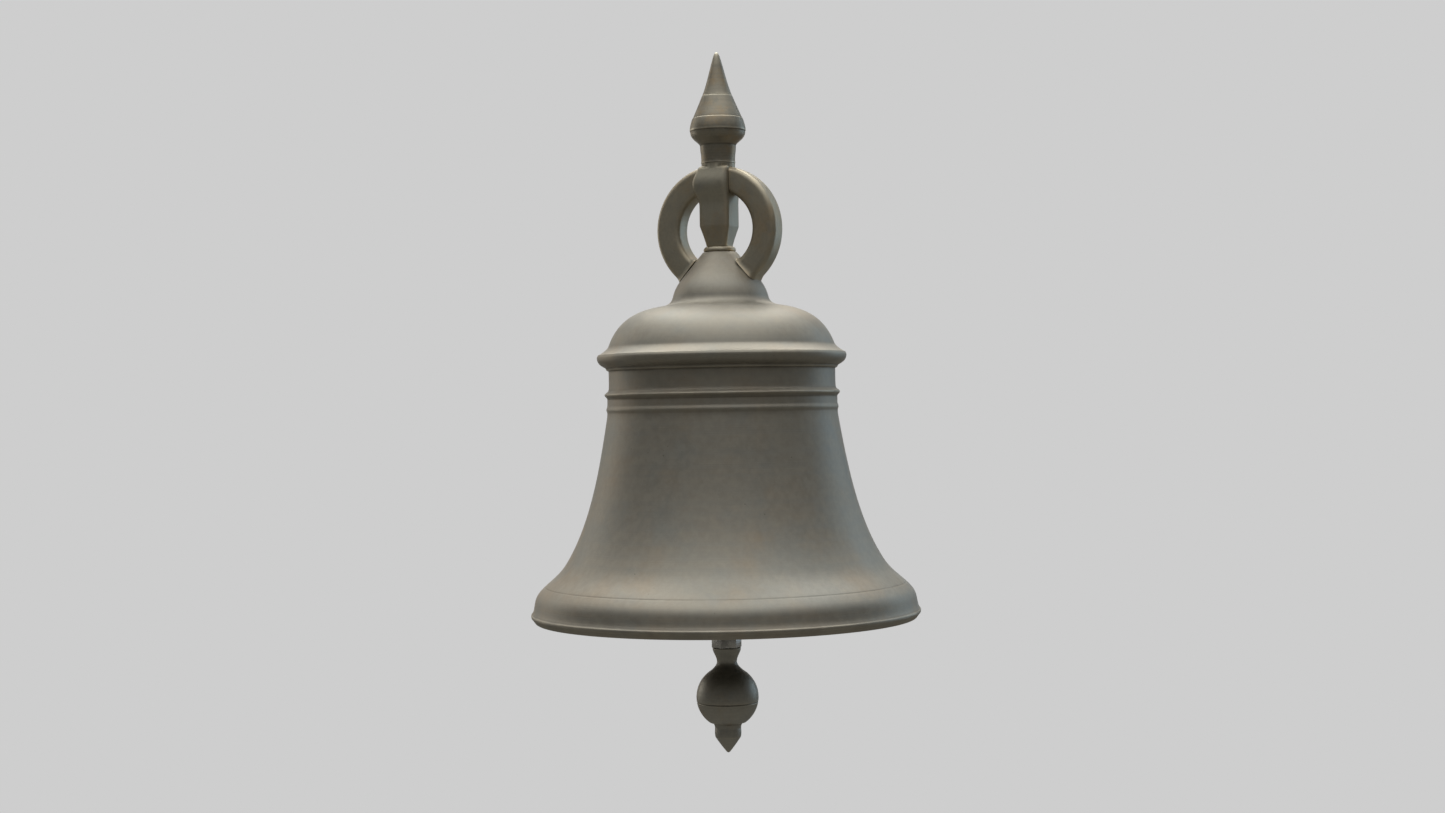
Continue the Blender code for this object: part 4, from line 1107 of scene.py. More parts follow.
@dataclass
class BellCasting:
    """The bell itself: lip, flare, waist, two wires, frieze, rim, domed crown and neck."""

    mouth: float = field(default_factory=lambda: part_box("bell_casting")[1].x)
    neck_top: float = field(default_factory=lambda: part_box("bell_casting")[1].z - LIP)
    bevel: Point = (0.0045, 0.0065)
    edge_roll: float = 0.0009
    band_top: float = 0.0250
    band_lean: float = 0.0050
    scribe: float = 0.0365
    scribe_depth: float = 0.00024
    flare: Point = (0.1630, 0.0595)
    waist: Point = (0.1188, 0.2090)
    lower_wire: Point = (0.1195, 0.2165)
    upper_wire: Point = (0.1212, 0.2315)
    frieze: Point = (0.1165, 0.2560)
    rim: Point = (0.1285, 0.2692)
    dome_base: float = 0.2810
    dome_top: Point = (0.0620, 0.3215)
    neck_base: Point = (0.0493, 0.3310)
    neck_knee: Point = (0.0390, 0.3505)
    neck_seat: float = 0.0172
    lip_face: float = 0.0115
    bow: Point = (0.0240, 0.0300)
    waist_wall: float = 0.0138
    shoulder_wall: float = 0.0125
    crown_underside: Point = (0.0640, 0.3000)
    segments: int = 200
    unevenness: float = 0.00045

    def lip(self) -> Outline:
        """The lip's edge, band and shoulder.

        Returns:
            The outline, in heights above the lip.
        """
        band = (self.mouth - self.band_lean, self.band_top)
        edge, roll = self.bevel[1], self.edge_roll
        start = (self.mouth - self.bevel[0], 0.0)
        made = Outline(start).line((self.mouth - 0.0013, edge - 0.0021))
        widest, over = (self.mouth, edge + roll), (self.mouth - 0.0014, edge + 0.0032)
        made.curve((self.mouth - 0.0002, edge - 0.0012), (self.mouth, edge - 0.0004), widest, 6)
        made.curve((self.mouth, edge + 0.0024), (self.mouth - 0.0010, edge + 0.0024), over, 6)
        foot, top = (band[0] + 0.0008, band[1] - 0.0045), (band[0] - 0.0080, band[1] + 0.0098)
        made.curve((self.mouth - 0.0030, 0.0125), (foot[0] + 0.0010, foot[1] - 0.0050), foot, 12)
        return made.bend((-0.0012, 0.0060), (0.0052, -0.0050), top, 20)

    def body(self) -> Outline:
        """The flare, with its scribed line, and the long waist.

        Returns:
            The outline, in heights above the lip.
        """
        foot, top = self.flare, self.waist
        rise = top[1] - foot[1]
        flare = Outline(self.lip().points[-1]).bend((-0.0080, 0.0077), (0.0075, -0.0119), foot, 40)
        scribed = [(r - self.scribe_depth * math.exp(-(((z - self.scribe) / 0.0005) ** 2)), z)
                   for r, z in flare.points]
        made = Outline(scribed[0]).line(*scribed[1:])
        leave, arrive = (foot[0] - 0.0235, foot[1] + 0.25 * rise), (top[0] + 0.0092, top[1] - 0.39 * rise)
        return made.curve(leave, arrive, top, 46)

    def shoulder(self) -> Outline:
        """Both wires, the frieze, the rim with its fine steps, and the foot of the dome.

        Returns:
            The outline, in heights above the lip.
        """
        valley = self.waist[0] - 0.0002
        made = Outline(self.waist)
        made.wire(self.lower_wire[1], self.lower_wire[0], (valley, valley - 0.0002), 0.0045, 1.2)
        feet = (valley - 0.0002, self.frieze[0] + 0.0003)
        made.wire(self.upper_wire[1], self.upper_wire[0], feet, 0.0062, 1.7)
        foot, nose = (self.frieze[0] + 0.0002, self.frieze[1]), self.rim
        made.curve((self.frieze[0], self.frieze[1] - 0.0150), (foot[0] - 0.0001, foot[1] - 0.0030), foot, 14)
        made.line((foot[0] + 0.0022, foot[1] + 0.0006), (foot[0] + 0.0030, foot[1] + 0.0030))
        made.curve((nose[0] - 0.0034, nose[1] - 0.0074), (nose[0] - 0.0004, nose[1] - 0.0052), nose, 14)
        step, base = (nose[0] - 0.0012, nose[1] + 0.0034), (self.frieze[0], self.dome_base)
        made.bend((0.0001, 0.0018), (0.0004, -0.0010), step, 10)
        made.line((step[0] - 0.0009, step[1] + 0.0003))
        return made.curve((step[0] - 0.0032, step[1] + 0.0014), (base[0] + 0.0014, base[1] - 0.0030), base)

    def crown(self) -> Outline:
        """The dome and the neck, up to the neck's flat seat.

        Returns:
            The outline, in heights above the lip.
        """
        base, top = (self.frieze[0], self.dome_base), self.dome_top
        foot, knee = self.neck_base, self.neck_knee
        rise = top[1] - base[1]
        slope = (self.neck_top - knee[1]) / (knee[0] - self.neck_seat)
        lead = 0.0060
        made = Outline(base)
        made.curve((base[0] - 0.0060, base[1] + 0.40 * rise), (base[0] - 0.0175, top[1] - 0.0050), top, 40)
        made.bend((-0.0080, 0.0013), (0.0015, -0.0055), foot)
        made.curve((foot[0] - 0.0018, foot[1] + 0.0070), (knee[0] + lead, knee[1] - lead * slope), knee, 16)
        return made.line((self.neck_seat, self.neck_top))

    def inside(self) -> Outline:
        """The bore and the inner wall, down to the lip.

        Returns:
            The outline, in heights above the lip.
        """
        wall_top = (self.frieze[0] - self.shoulder_wall, self.frieze[1])
        waist = (self.waist[0] - self.waist_wall, self.waist[1])
        lip = self.mouth - self.bevel[0] - self.lip_face
        bow = (lip - self.bow[0], self.bow[1])
        under = self.crown_underside
        arch, drop = under[1] - wall_top[1], waist[1] - bow[1]
        made = Outline((BORE, self.neck_top)).line((BORE, under[1]), under)
        made.curve((wall_top[0] - 0.0150, under[1]), (wall_top[0], wall_top[1] + 0.55 * arch), wall_top, 18)
        made.line(waist)
        made.curve((waist[0] + 0.0140, waist[1] - 0.46 * drop), (bow[0] - 0.0260, bow[1] + 0.0280), bow, 34)
        return made.curve((bow[0] + 0.0060, bow[1] - 0.0075), (lip - 0.0030, 0.0040), (lip, 0.0), 8)

    def radius_at(self, height: float) -> float:
        """Radius of the outside of the dome and neck at a height."""
        radii, heights = zip(*self.crown().points)
        return float(np.interp(height, heights, radii))

    def build(self, shop: Workshop, sockets: Iterable[bpy.types.Mesh]) -> bpy.types.Object:
        """Builds the casting.

        Args:
            shop: the workshop.
            sockets: cutters for the canons' feet.

        Returns:
            The piece.
        """
        outline = self.lip().join(self.body()).join(self.shoulder()).join(self.crown()).join(self.inside())
        outline = from_lip(outline.softened(0.0012, ring=True, steps=3).divided(0.0060, ring=True))
        mesh = shop.turned("bell_casting", outline, BELL_BRONZE, self.segments, True, self.unevenness, 5.0)
        mesh = shop.combined(mesh, [("DIFFERENCE", socket) for socket in sockets])
        return shop.hand_over(mesh, "bell_casting", BELL_BRONZE, Body.BELL, sharp=520.0)


# ---------------------------------------------------------------- crown: collar, post, canons
@dataclass
class Crown:
    """The square post on its collar, and the two canons let into it and into the neck."""

    bell: BellCasting
    collar_height: float = 0.0050
    collar_radius: float = 0.0166
    post_base: float = field(default_factory=lambda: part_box("crown_post")[0].z - LIP)
    post_top: float = field(default_factory=lambda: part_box("crown_post")[1].z - LIP)
    width: float = 0.0325
    depth: float = 0.0335
    base_width: float = 0.0225
    taper: float = 0.0205
    corner: float = 0.0042
    swell_middle: float = 0.4460
    swell_half: float = 0.0220
    swell_forward: float = 0.0040
    swell_corner: float = 0.0062
    cheek_reach: float = 0.0066
    shoulder: float = 0.4615
    shoulder_round: float = 0.0042
    pad: float = 0.0173
    ring_centre: float = 0.4000
    ring_outer: float = 0.0658
    ring_inner: float = 0.0400
    thickness: float = 0.0270
    bar_corner: float = 0.0056
    foot_fillet: float = 0.0020
    tenon: tuple[float, float, float] = (0.00795, 0.0150, 0.0120)
    foot_tenon: tuple[float, float] = (0.0150, 0.0100)
    pin_radius: float = 0.0020

    def swell(self, height: float) -> float:
        """How far the upper post has swelled at a height, from 0 to 1."""
        share = (height - self.swell_middle) / self.swell_half
        return 0.5 + 0.5 * math.cos(math.pi * share) if abs(share) < 1 else 0.0

    def post_section(self, height: float) -> list[Place]:
        """Points round the post at a height, with its cheek swelling on the left.

        Args:
            height: height above the lip.

        Returns:
            The points, counter-clockwise.
        """
        window = [height + k * 0.00028 - self.post_base for k in range(-3, 4)]
        share = sum(min(1.0, max(0.0, w / self.taper)) ** 1.18 for w in window) / len(window)
        swelled = self.swell(height)
        inset = 0.0
        if height > self.shoulder:
            over = min(height - self.shoulder, self.shoulder_round)
            inset = self.shoulder_round - math.sqrt(self.shoulder_round**2 - over**2)
        width = self.base_width + (self.width - self.base_width) * share - 2 * inset
        depth = width + (self.depth - self.width) * share + 2 * self.swell_forward * swelled
        corner = self.corner + (self.swell_corner - self.corner) * swelled
        reach = self.cheek_reach * swelled
        return [(x - reach * smooth_step(0.0, -width / 2, x), y, height + LIP)
                for x, y in rounded_rectangle(width, depth, corner, 8, 12)]

    def socket(self, side: int, clearance: float, upper: bool) -> bpy.types.Mesh:
        """A canon's tenon, or with clearance the hole for it.

        Args:
            side: -1 for the left canon, 1 for the right one.
            clearance: how far the hole is larger.
            upper: True for the tenon in the post, False for the one in the neck.

        Returns:
            The mesh of a straight block.
        """
        if upper:
            height = self.ring_centre + (self.ring_outer + self.ring_inner) / 2
            near, far = self.width / 2 - self.tenon[0] - clearance, self.width / 2 + 0.0060
            rise = self.tenon[2] / 2 + clearance
        else:
            face, height = self.foot_spot()
            near, far = face - self.foot_tenon[0] - clearance, face + 0.0050
            rise = self.foot_tenon[1] / 2 + clearance
        xs = sorted((side * near, side * far))
        half = self.tenon[1] / 2 + clearance
        middle = height + LIP
        label = f"{'upper' if upper else 'foot'}_tenon_{side:+d}"
        return block(label, (xs[0], -half, middle - rise), (xs[1], half, middle + rise))

    def foot_spot(self) -> Point:
        """Where the ring's middle line runs into the neck, as (distance from the axis, height).

        Returns:
            The spot.
        """
        angle = self.entry_angle(0.0, 0.0)
        middle = (self.ring_outer + self.ring_inner) / 2
        return (middle * math.sin(angle), self.ring_centre + middle * math.cos(angle))

    def entry_angle(self, offset: float, y: float) -> float:
        """Angle from the top at which a line along the bar meets the neck.

        Args:
            offset: the line's distance outside the bar's middle line.
            y: its distance in front of or behind it.

        Returns:
            The angle, in radians.
        """
        radius = (self.ring_outer + self.ring_inner) / 2 + offset
        low, high = math.radians(95), math.radians(165)
        for _ in range(40):
            angle = (low + high) / 2
            height = self.ring_centre + radius * math.cos(angle)
            outside = math.hypot(radius * math.sin(angle), y) > self.bell.radius_at(height) + GAP
            low, high = (angle, high) if outside else (low, angle)
        return (low + high) / 2

    def pin_mesh(self, side: int, clearance: float) -> bpy.types.Mesh:
        """A canon's cross pin, or with clearance its blind hole.

        Args:
            side: -1 for the left canon, 1 for the right one.
            clearance: how far the hole is larger.

        Returns:
            The mesh.
        """
        height = self.ring_centre + (self.ring_outer + self.ring_inner) / 2
        face = self.depth / 2 + self.swell_forward * self.swell(height)
        front, back = -face + 0.0040 - clearance, face - 0.0016 + (0.0100 if clearance else 0.0)
        radius = self.pin_radius + clearance
        chamfer = 0.0 if clearance else 0.0004
        rows = ((radius - chamfer, front), (radius, front + chamfer))
        rows += ((radius, back - chamfer), (radius - chamfer, back))
        turn = Matrix.Rotation(math.radians(-90), 4, "X")
        mesh = lofted(f"pin_{side:+d}", [[(x, y, z) for x, y in polygon(r, 28)] for r, z in rows])
        mesh.transform(turn)
        mesh.transform(Matrix.Translation((side * (self.width / 2 - self.tenon[0] / 2), 0.0, height + LIP)))
        return mesh

    def canon_mesh(self, side: int) -> bpy.types.Mesh:
        """The bar of one canon, from the post's side round to the neck.

        Args:
            side: -1 for the left canon, 1 for the right one.

        Returns:
            The mesh of the bar.
        """
        section = rounded_rectangle(self.ring_outer - self.ring_inner, self.thickness, self.bar_corner, 7)
        middle = (self.ring_outer + self.ring_inner) / 2
        face = self.width / 2 + GAP
        steps = 84
        rings = []
        spans = [(math.asin(face / (middle + o)), self.entry_angle(o, y)) for o, y in section]
        for i in range(steps + 1):
            ring = []
            for (offset, y), (start, stop) in zip(section, spans):
                angle = start + (stop - start) * i / steps
                left = (stop - angle) * middle
                grow = self.foot_fillet * max(0.0, 1 - left / 0.0060) ** 2.2
                share = 1 + grow / (self.thickness / 2)
                radius = middle + offset * share
                height = self.ring_centre + radius * math.cos(angle)
                ring.append((side * radius * math.sin(angle), y * share, height + LIP))
            rings.append(ring)
        return lofted(f"canon_{side:+d}", rings)

    def build(self, shop: Workshop) -> None:
        """Builds the collar, the post, both canons and their pins.

        Args:
            shop: the workshop.
        """
        base, radius = self.bell.neck_top + GAP, self.collar_radius
        top, middle = base + self.collar_height, base + self.collar_height / 2
        collar = Outline((BORE, base)).line((radius - 0.0008, base))
        bulge = ((radius + 0.0006, base + 0.0006), (radius + 0.0004, middle + 0.0010))
        collar.curve(*bulge, (radius - 0.0022, top)).line((BORE, top))
        mesh = shop.turned("neck_collar", from_lip(collar.softened(0.0005, True)), CROWN_BRONZE, 96, True)
        shop.hand_over(mesh, "neck_collar", CROWN_BRONZE, Body.BELL)

        rows = [self.post_base + (self.taper + 0.0025) * i / 26 for i in range(27)]
        last = self.shoulder + self.shoulder_round * 0.92
        rows += [rows[-1] + (last - rows[-1]) * i / 44 for i in range(1, 45)]
        post = lofted("crown_post", [self.post_section(height) for height in rows])
        half = self.thickness / 2 + GAP
        low, high = self.post_base + LIP - 0.01, self.post_top + LIP
        pad = prism("pad", polygon(self.pad, 64), self.shoulder + LIP, high)
        steps = [("UNION", pad), ("DIFFERENCE", prism("bolt_bore", polygon(BORE, 48), low, high + 0.01))]
        cheek_slot = block("cheek_slot", (-0.06, -half, low), (-self.width / 2, half, high + 0.01))
        steps.append(("DIFFERENCE", cheek_slot))
        for side in (-1, 1):
            steps.append(("DIFFERENCE", self.socket(side, GAP, True)))
            steps.append(("DIFFERENCE", self.pin_mesh(side, GAP)))
        mesh = shop.combined(post, steps, 0.0007)
        shop.hand_over(mesh, "crown_post", CROWN_BRONZE, Body.BELL)

        for side, name in ((-1, "left"), (1, "right")):
            steps = [("UNION", self.socket(side, 0.0, True)), ("UNION", self.socket(side, 0.0, False))]
            steps.append(("DIFFERENCE", self.pin_mesh(side, GAP)))
            mesh = shop.combined(self.canon_mesh(side), steps)
            shop.hand_over(mesh, f"canon_{name}", CROWN_BRONZE, Body.BELL, sharp=330.0)
            pin = cleaned(self.pin_mesh(side, 0.0))
            shop.hand_over(pin, f"canon_pin_{name}", FORGED_IRON, Body.BELL)


# ---------------------------------------------------------------- finial
@dataclass
class Finial:
    """The turned finial: a base with neck, rim and cone, and the spike screwed into it."""

    base: float = field(default_factory=lambda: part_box("finial_base")[0].z - LIP)
    joint: float = field(default_factory=lambda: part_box("finial_base")[1].z - LIP)
    tip: float = field(default_factory=lambda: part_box("finial_spike")[1].z - LIP)
    neck_radius: float = 0.0176
    neck_height: float = 0.0187
    rim_radius: float = 0.0290
    rim_rise: float = 0.0155
    band_rise: float = 0.0125
    band_radius: float = 0.0254
    joint_radius: float = 0.0156
    spike_step: float = 0.0003
    spigot: Point = (0.0040, 0.0150)
    pocket: Point = (0.0125, 0.0155)
    bolt_room: float = 0.0325
    thread_pitch: float = 0.00125

    def base_outline(self) -> Outline:
        """The outside and the two bores of the base.

        Returns:
            The outline, in heights above the lip.
        """
        neck = self.neck_radius
        neck_top = (neck + 0.0010, self.base + self.neck_height)
        rim = self.base + self.neck_height + self.rim_rise
        widest = (self.rim_radius, rim)
        band = (self.band_radius + 0.0008, rim + self.band_rise - 0.0010)
        step = (self.band_radius, rim + self.band_rise)
        joint = (self.joint_radius, self.joint)
        made = Outline((0.0, self.base + self.bolt_room)).line((BORE, self.base + self.bolt_room))
        made.line((BORE, self.base + self.pocket[1]), (self.pocket[0], self.base + self.pocket[1]))
        made.line((self.pocket[0], self.base), (neck + 0.0002, self.base))
        waist = (neck + 0.0004, self.base + 0.0110)
        made.curve((neck - 0.0003, self.base + 0.0020), (neck - 0.0004, self.base + 0.0060), waist, 10)
        made.curve((neck + 0.0009, self.base + 0.0140), (neck + 0.0008, neck_top[1] - 0.0020), neck_top, 8)
        under = (widest[0] - 0.0004, widest[1] - 0.0090)
        swell = (neck_top[0] + 0.0020, neck_top[1] + 0.0040)
        made.curve(swell, under, (widest[0] - 0.0006, widest[1] - 0.0012), 20)
        made.line((widest[0], widest[1] - 0.0004), (widest[0] - 0.0002, widest[1] + 0.0012))
        made.curve((widest[0] - 0.0004, widest[1] + 0.0040), (band[0] + 0.0012, band[1] - 0.0030), band, 16)
        made.line((band[0] - 0.0002, band[1] + 0.0006), step)
        made.bend((-0.0034, 0.0080), (0.0028, -0.0070), joint, 22)
        bore, floor = self.spigot[0] + GAP, self.joint - self.spigot[1] - 0.0010
        return made.line((bore, self.joint), (bore, floor), (0.0, floor))

    def spike_outline(self) -> Outline:
        """The upper cone with its spigot.

        Returns:
            The outline, in heights above the lip.
        """
        base = self.joint + GAP
        radius, length = self.spigot
        shoulder = (self.joint_radius - self.spike_step, base)
        end = base - length
        made = Outline((0.0, end)).line((radius - 0.0006, end), (radius, end + 0.0006))
        made.line((radius, base), shoulder)
        made.curve((0.0108, base + 0.0110), (0.0066, self.tip - 0.0150), (0.0041, self.tip - 0.0070), 28)
        return made.curve((0.0033, self.tip - 0.0045), (0.0022, self.tip - 0.0002), (0.0, self.tip), 14)

    def build(self, shop: Workshop) -> None:
        """Builds the base and the spike.

        Args:
            shop: the workshop.
        """
        outline = from_lip(self.base_outline().softened(0.0005).divided(0.0025))
        mesh = shop.turned("finial_base", outline, FINIAL_BRONZE, 144, unevenness=0.00016, seed=8.0)
        shop.hand_over(mesh, "finial_base", FINIAL_BRONZE, Body.BELL)
        outline = from_lip(self.spike_outline().softened(0.0004).divided(self.thread_pitch / ROWS_PER_TURN))
        mesh = shop.turned("finial_spike", outline, FINIAL_BRONZE, 96, unevenness=0.00014, seed=9.0)
        low, high = self.joint - self.spigot[1] + LIP, self.joint + LIP - 0.0012
        mesh = cleaned(shop.threaded(mesh, FINIAL_BRONZE, self.spigot[0], self.thread_pitch, low, high))
        shop.hand_over(mesh, "finial_spike", FINIAL_BRONZE, Body.BELL)


# ---------------------------------------------------------------- small round parts
def ring_outline(inner: float, outer: float, base: float, top: float, round_over: float = 0.0003) -> Outline:
    """The softened outline of a flat ring."""
    return Outline((inner, base)).line((outer, base), (outer, top), (inner, top)).softened(round_over, True)


def hex_nut(shop: Workshop, name: str, flats: float, bore: float, base: float,
            height: float) -> bpy.types.Mesh:
    """A hexagon nut with turned corners and countersunk bore.

    Args:
        shop: the workshop.
        name: the mesh's name.
        flats: width across the flats.
        bore: radius of the bore.
        base: where it starts along Z.
        height: its height.

    Returns:
        The mesh.
    """
    corner = flats / math.sqrt(3)
    hexagon = prism(name, polygon(corner, 6, math.radians(30)), base, base + height)
    drop, low, high, wide = (corner - flats / 2) * 0.55, base - 0.001, base + height + 0.001, corner + 0.001
    cone = Outline((0.0, low)).line((flats / 2, low), (wide, base + drop), (wide, base + height - drop))
    cone.line((flats / 2, high), (0.0, high))
    sink = 0.0010
    open_end = bore + sink + 0.001
    hole = Outline((0.0, low)).line((open_end, low), (bore, base + sink), (bore, base + height - sink))
    hole.line((open_end, high), (0.0, high))
    turned = shop.turned(f"{name}_corners", cone, BRIGHT_STEEL, 72)
    bored = shop.turned(f"{name}_bore", hole, BRIGHT_STEEL, 48)
    return shop.combined(hexagon, [("INTERSECT", turned), ("DIFFERENCE", bored)], 0.00045, 3)


@dataclass
class CrownStaple:
    """The bolt, flange and fork that carry the clapper, with their gasket, washer and nut."""

    high: float = field(default_factory=lambda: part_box("crown_staple")[1].z - LIP)
    post_top: float = field(default_factory=lambda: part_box("crown_post")[1].z - LIP)
    gasket: float = field(default_factory=lambda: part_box("staple_gasket")[0].z - LIP)
    bolt_radius: float = 0.0060
    thread_pitch: float = 0.00175
    thread_length: float = 0.0310
    flange_radius: float = 0.0280
    flange_thickness: float = 0.0070
    gasket_thickness: float = 0.0024
    gasket_radius: float = 0.0300
    bridge: float = 0.0120
    ear_inner: float = 0.0116
    ear_outer: float = 0.0206
    ear_radius: float = 0.0140
    pin_bore: float = 0.0063
    washer: tuple[float, float] = (0.0120, 0.0022)
    nut: tuple[float, float] = (0.0190, 0.0100)

    def staple(self, shop: Workshop) -> bpy.types.Mesh:
        """The forging, with its fork cut out, its edges rounded and its thread cut.

        Args:
            shop: the workshop.

        Returns:
            The mesh, in place.
        """
        top = self.gasket - GAP
        base = top - self.flange_thickness
        radius, flange, end = self.bolt_radius, self.flange_radius, self.high
        outline = Outline((0.0, base - 0.0010)).line((flange - 0.0015, base - 0.0010), (flange, base))
        outline.line((flange, top), (radius + 0.0016, top), (radius, top + 0.0020), (radius, end - 0.0010))
        outline.line((radius - 0.0010, end), (0.0, end))
        threads = end - self.thread_length
        plain = outline.softened(0.0009).points
        fine = Outline(plain[0])
        for point in plain[1:]:
            start = fine.points[-1]
            long_run = abs(point[0] - start[0]) < WELD and point[1] - start[1] > 0.02
            if long_run:
                count = math.ceil((point[1] - threads) / (self.thread_pitch / ROWS_PER_TURN))
                fine.line(*((radius, threads + (point[1] - threads) * i / count) for i in range(count)))
            fine.line(point)
        body = shop.turned("crown_staple", from_lip(fine), FORGED_IRON, 64)
        arc = [(self.ear_radius * math.cos(a), PIVOT + self.ear_radius * math.sin(a))
               for a in (math.radians(180 + 5 * i) for i in range(37))]
        sides = [(self.ear_radius, base), (-self.ear_radius, base), *arc]
        ears = (-self.ear_outer, self.ear_outer)
        fork = lofted("fork", [[(x, y, z + LIP) for y, z in sides] for x in ears])
        slot_low, slot_top = PIVOT - 0.05 + LIP, base - self.bridge + LIP
        slot = block("fork_slot", (-self.ear_inner, -0.05, slot_low), (self.ear_inner, 0.05, slot_top))
        bore = along_x(prism("pivot_bore", polygon(self.pin_bore, 40), -0.05, 0.05))
        body = shop.combined(body, [("UNION", fork), ("DIFFERENCE", slot), ("DIFFERENCE", bore)], 0.0010, 3)
        spots = (threads + LIP, end - 0.0008 + LIP)
        return cleaned(shop.threaded(body, FORGED_IRON, radius, self.thread_pitch, *spots))

    def build(self, shop: Workshop) -> None:
        """Builds the staple and its fastening.

        Args:
            shop: the workshop.
        """
        shop.hand_over(self.staple(shop), "crown_staple", FORGED_IRON, Body.BELL, sharp=FORGED_EDGE)
        base = self.gasket
        outline = ring_outline(BORE, self.gasket_radius, base, base + self.gasket_thickness, 0.0009)
        mesh = shop.turned("staple_gasket", from_lip(outline), OILED_LEATHER, 96, True, 0.0006, 4.0)
        shop.hand_over(mesh, "staple_gasket", OILED_LEATHER, Body.BELL, sharp=FINE_EDGE)
        base = self.post_top + GAP
        outline = ring_outline(BORE, self.washer[0], base, base + self.washer[1], 0.0004)
        mesh = shop.turned("staple_washer", from_lip(outline), BRIGHT_STEEL, 72, True)
        shop.hand_over(mesh, "staple_washer", BRIGHT_STEEL, Body.BELL, sharp=FINE_EDGE)
        base += self.washer[1] + GAP + LIP
        nut = hex_nut(shop, "staple_nut", self.nut[0], BORE, base, self.nut[1])
        shop.hand_over(nut, "staple_nut", BRIGHT_STEEL, Body.BELL, sharp=FINE_EDGE)


def along_x(mesh: bpy.types.Mesh) -> bpy.types.Mesh:
    """Turns a mesh made about Z to lie along X, on the clapper's pivot."""
    mesh.transform(Matrix.Translation((0.0, 0.0, PIVOT + LIP)) @ Matrix.Rotation(math.radians(90), 4, "Y"))
    return mesh


@dataclass
class ClapperPivot:
    """The pivot pin with its washer and cotter, the bush in the eye and the leather side washers."""

    pin_radius: float = 0.0060
    ear_outer: float = 0.0206
    head: tuple[float, float] = (0.0100, 0.0060)
    tail: float = 0.0070
    washer: tuple[float, float] = (0.0110, 0.0020)
    wire: float = 0.0007
    leg: float = 0.0110
    eye: float = 0.0026
    bush_wall: float = 0.0029
    eye_width: float = 0.0180
    side_washer: tuple[float, float] = (0.0135, 0.0020)

    def cotter_x(self) -> float:
        """The cotter's place along the pin, just outside the washer."""
        return -(self.ear_outer + GAP + self.washer[1] + 2 * self.wire + 0.0012)

    def cotter(self) -> bpy.types.Mesh:
        """The split pin: an eye above the pivot pin, two legs through it and their ends spread.

        Returns:
            The mesh, in place.
        """
        leg, height = self.wire + 0.0001, self.pin_radius + self.eye + 0.0012
        half = Outline((leg + 0.0028, -self.leg))
        straight = (leg, -self.leg + 0.0032)
        half.curve((leg + 0.0012, -self.leg + 0.0006), (leg, -self.leg + 0.0014), straight, 8)
        half.line((leg, -self.pin_radius), (leg, 0.0), (leg, self.pin_radius))
        first = math.radians(-62)
        rounds = [first + math.radians(152) * i / 16 for i in range(17)]
        half.line(*((self.eye * math.cos(a), height + self.eye * math.sin(a)) for a in rounds))
        points = half.points + [(-y, z) for y, z in reversed(half.points[:-1])]
        curve = bpy.data.curves.new("cotter_pin", "CURVE")
        curve.dimensions, curve.bevel_depth, curve.bevel_resolution = "3D", self.wire, 3
        curve.use_fill_caps = True
        spline = curve.splines.new("POLY")
        spline.points.add(len(points) - 1)
        for point, (y, z) in zip(spline.points, points):
            point.co = (self.cotter_x(), y, z + PIVOT + LIP, 1.0)
        holder = in_scene("cotter_pin", curve)
        mesh = bpy.data.meshes.new_from_object(holder.evaluated_get(bpy.context.evaluated_depsgraph_get()))
        bpy.data.objects.remove(holder, do_unlink=True)
        return cleaned(mesh)

    def build(self, shop: Workshop) -> None:
        """Builds the pivot's pieces.

        Args:
            shop: the workshop.
        """
        radius, head = self.pin_radius, self.ear_outer + GAP
        tail = -(head + self.washer[1] + self.tail)
        outline = Outline((0.0, tail)).line((radius - 0.0008, tail), (radius, tail + 0.0008), (radius, head))
        outline.line((self.head[0], head), (self.head[0], head + self.head[1] - 0.0015))
        outline.line((self.head[0] - 0.0020, head + self.head[1]), (0.0, head + self.head[1]))
        mesh = shop.turned("pivot_pin", outline.softened(0.0005).divided(0.0030), BRIGHT_STEEL, 64)
        hole = prism("cotter_hole", polygon(2 * self.wire + 0.0004, 24), -0.02, 0.02)
        hole.transform(Matrix.Translation((self.cotter_x(), 0.0, PIVOT + LIP)))
        mesh = shop.combined(along_x(mesh), [("DIFFERENCE", hole)], 0.0002)
        shop.hand_over(mesh, "pivot_pin", BRIGHT_STEEL, Body.BELL, sharp=FINE_EDGE)
        shop.hand_over(self.cotter(), "cotter_pin", BRIGHT_STEEL, Body.BELL, sharp=2400.0)

        bore, half, inner = radius + GAP, self.eye_width / 2, self.eye_width / 2 + GAP
        wall = radius + GAP + self.bush_wall
        brass = (BUSH_BRASS, Body.CLAPPER, 0.0006, 0.0)
        leather = (OILED_LEATHER, Body.CLAPPER, 0.0008, 0.0004)
        steel = (BRIGHT_STEEL, Body.BELL, 0.0004, 0.0)
        rings = [("clapper_bush", -half, half, wall, brass)]
        for side, name in ((-1, "left"), (1, "right")):
            low, high = sorted((side * inner, side * (inner + self.side_washer[1])))
            rings.append((f"side_washer_{name}", low, high, self.side_washer[0], leather))
        near = -(self.ear_outer + GAP)
        rings.append(("pivot_washer", near - self.washer[1], near, self.washer[0], steel))
        for name, low, high, outer, (finish, body, round_over, unevenness) in rings:
            outline = ring_outline(bore, outer, low, high, round_over)
            mesh = shop.turned(name, outline, finish, 64, True, unevenness)
            shop.hand_over(along_x(mesh), name, finish, body, sharp=FINE_EDGE)


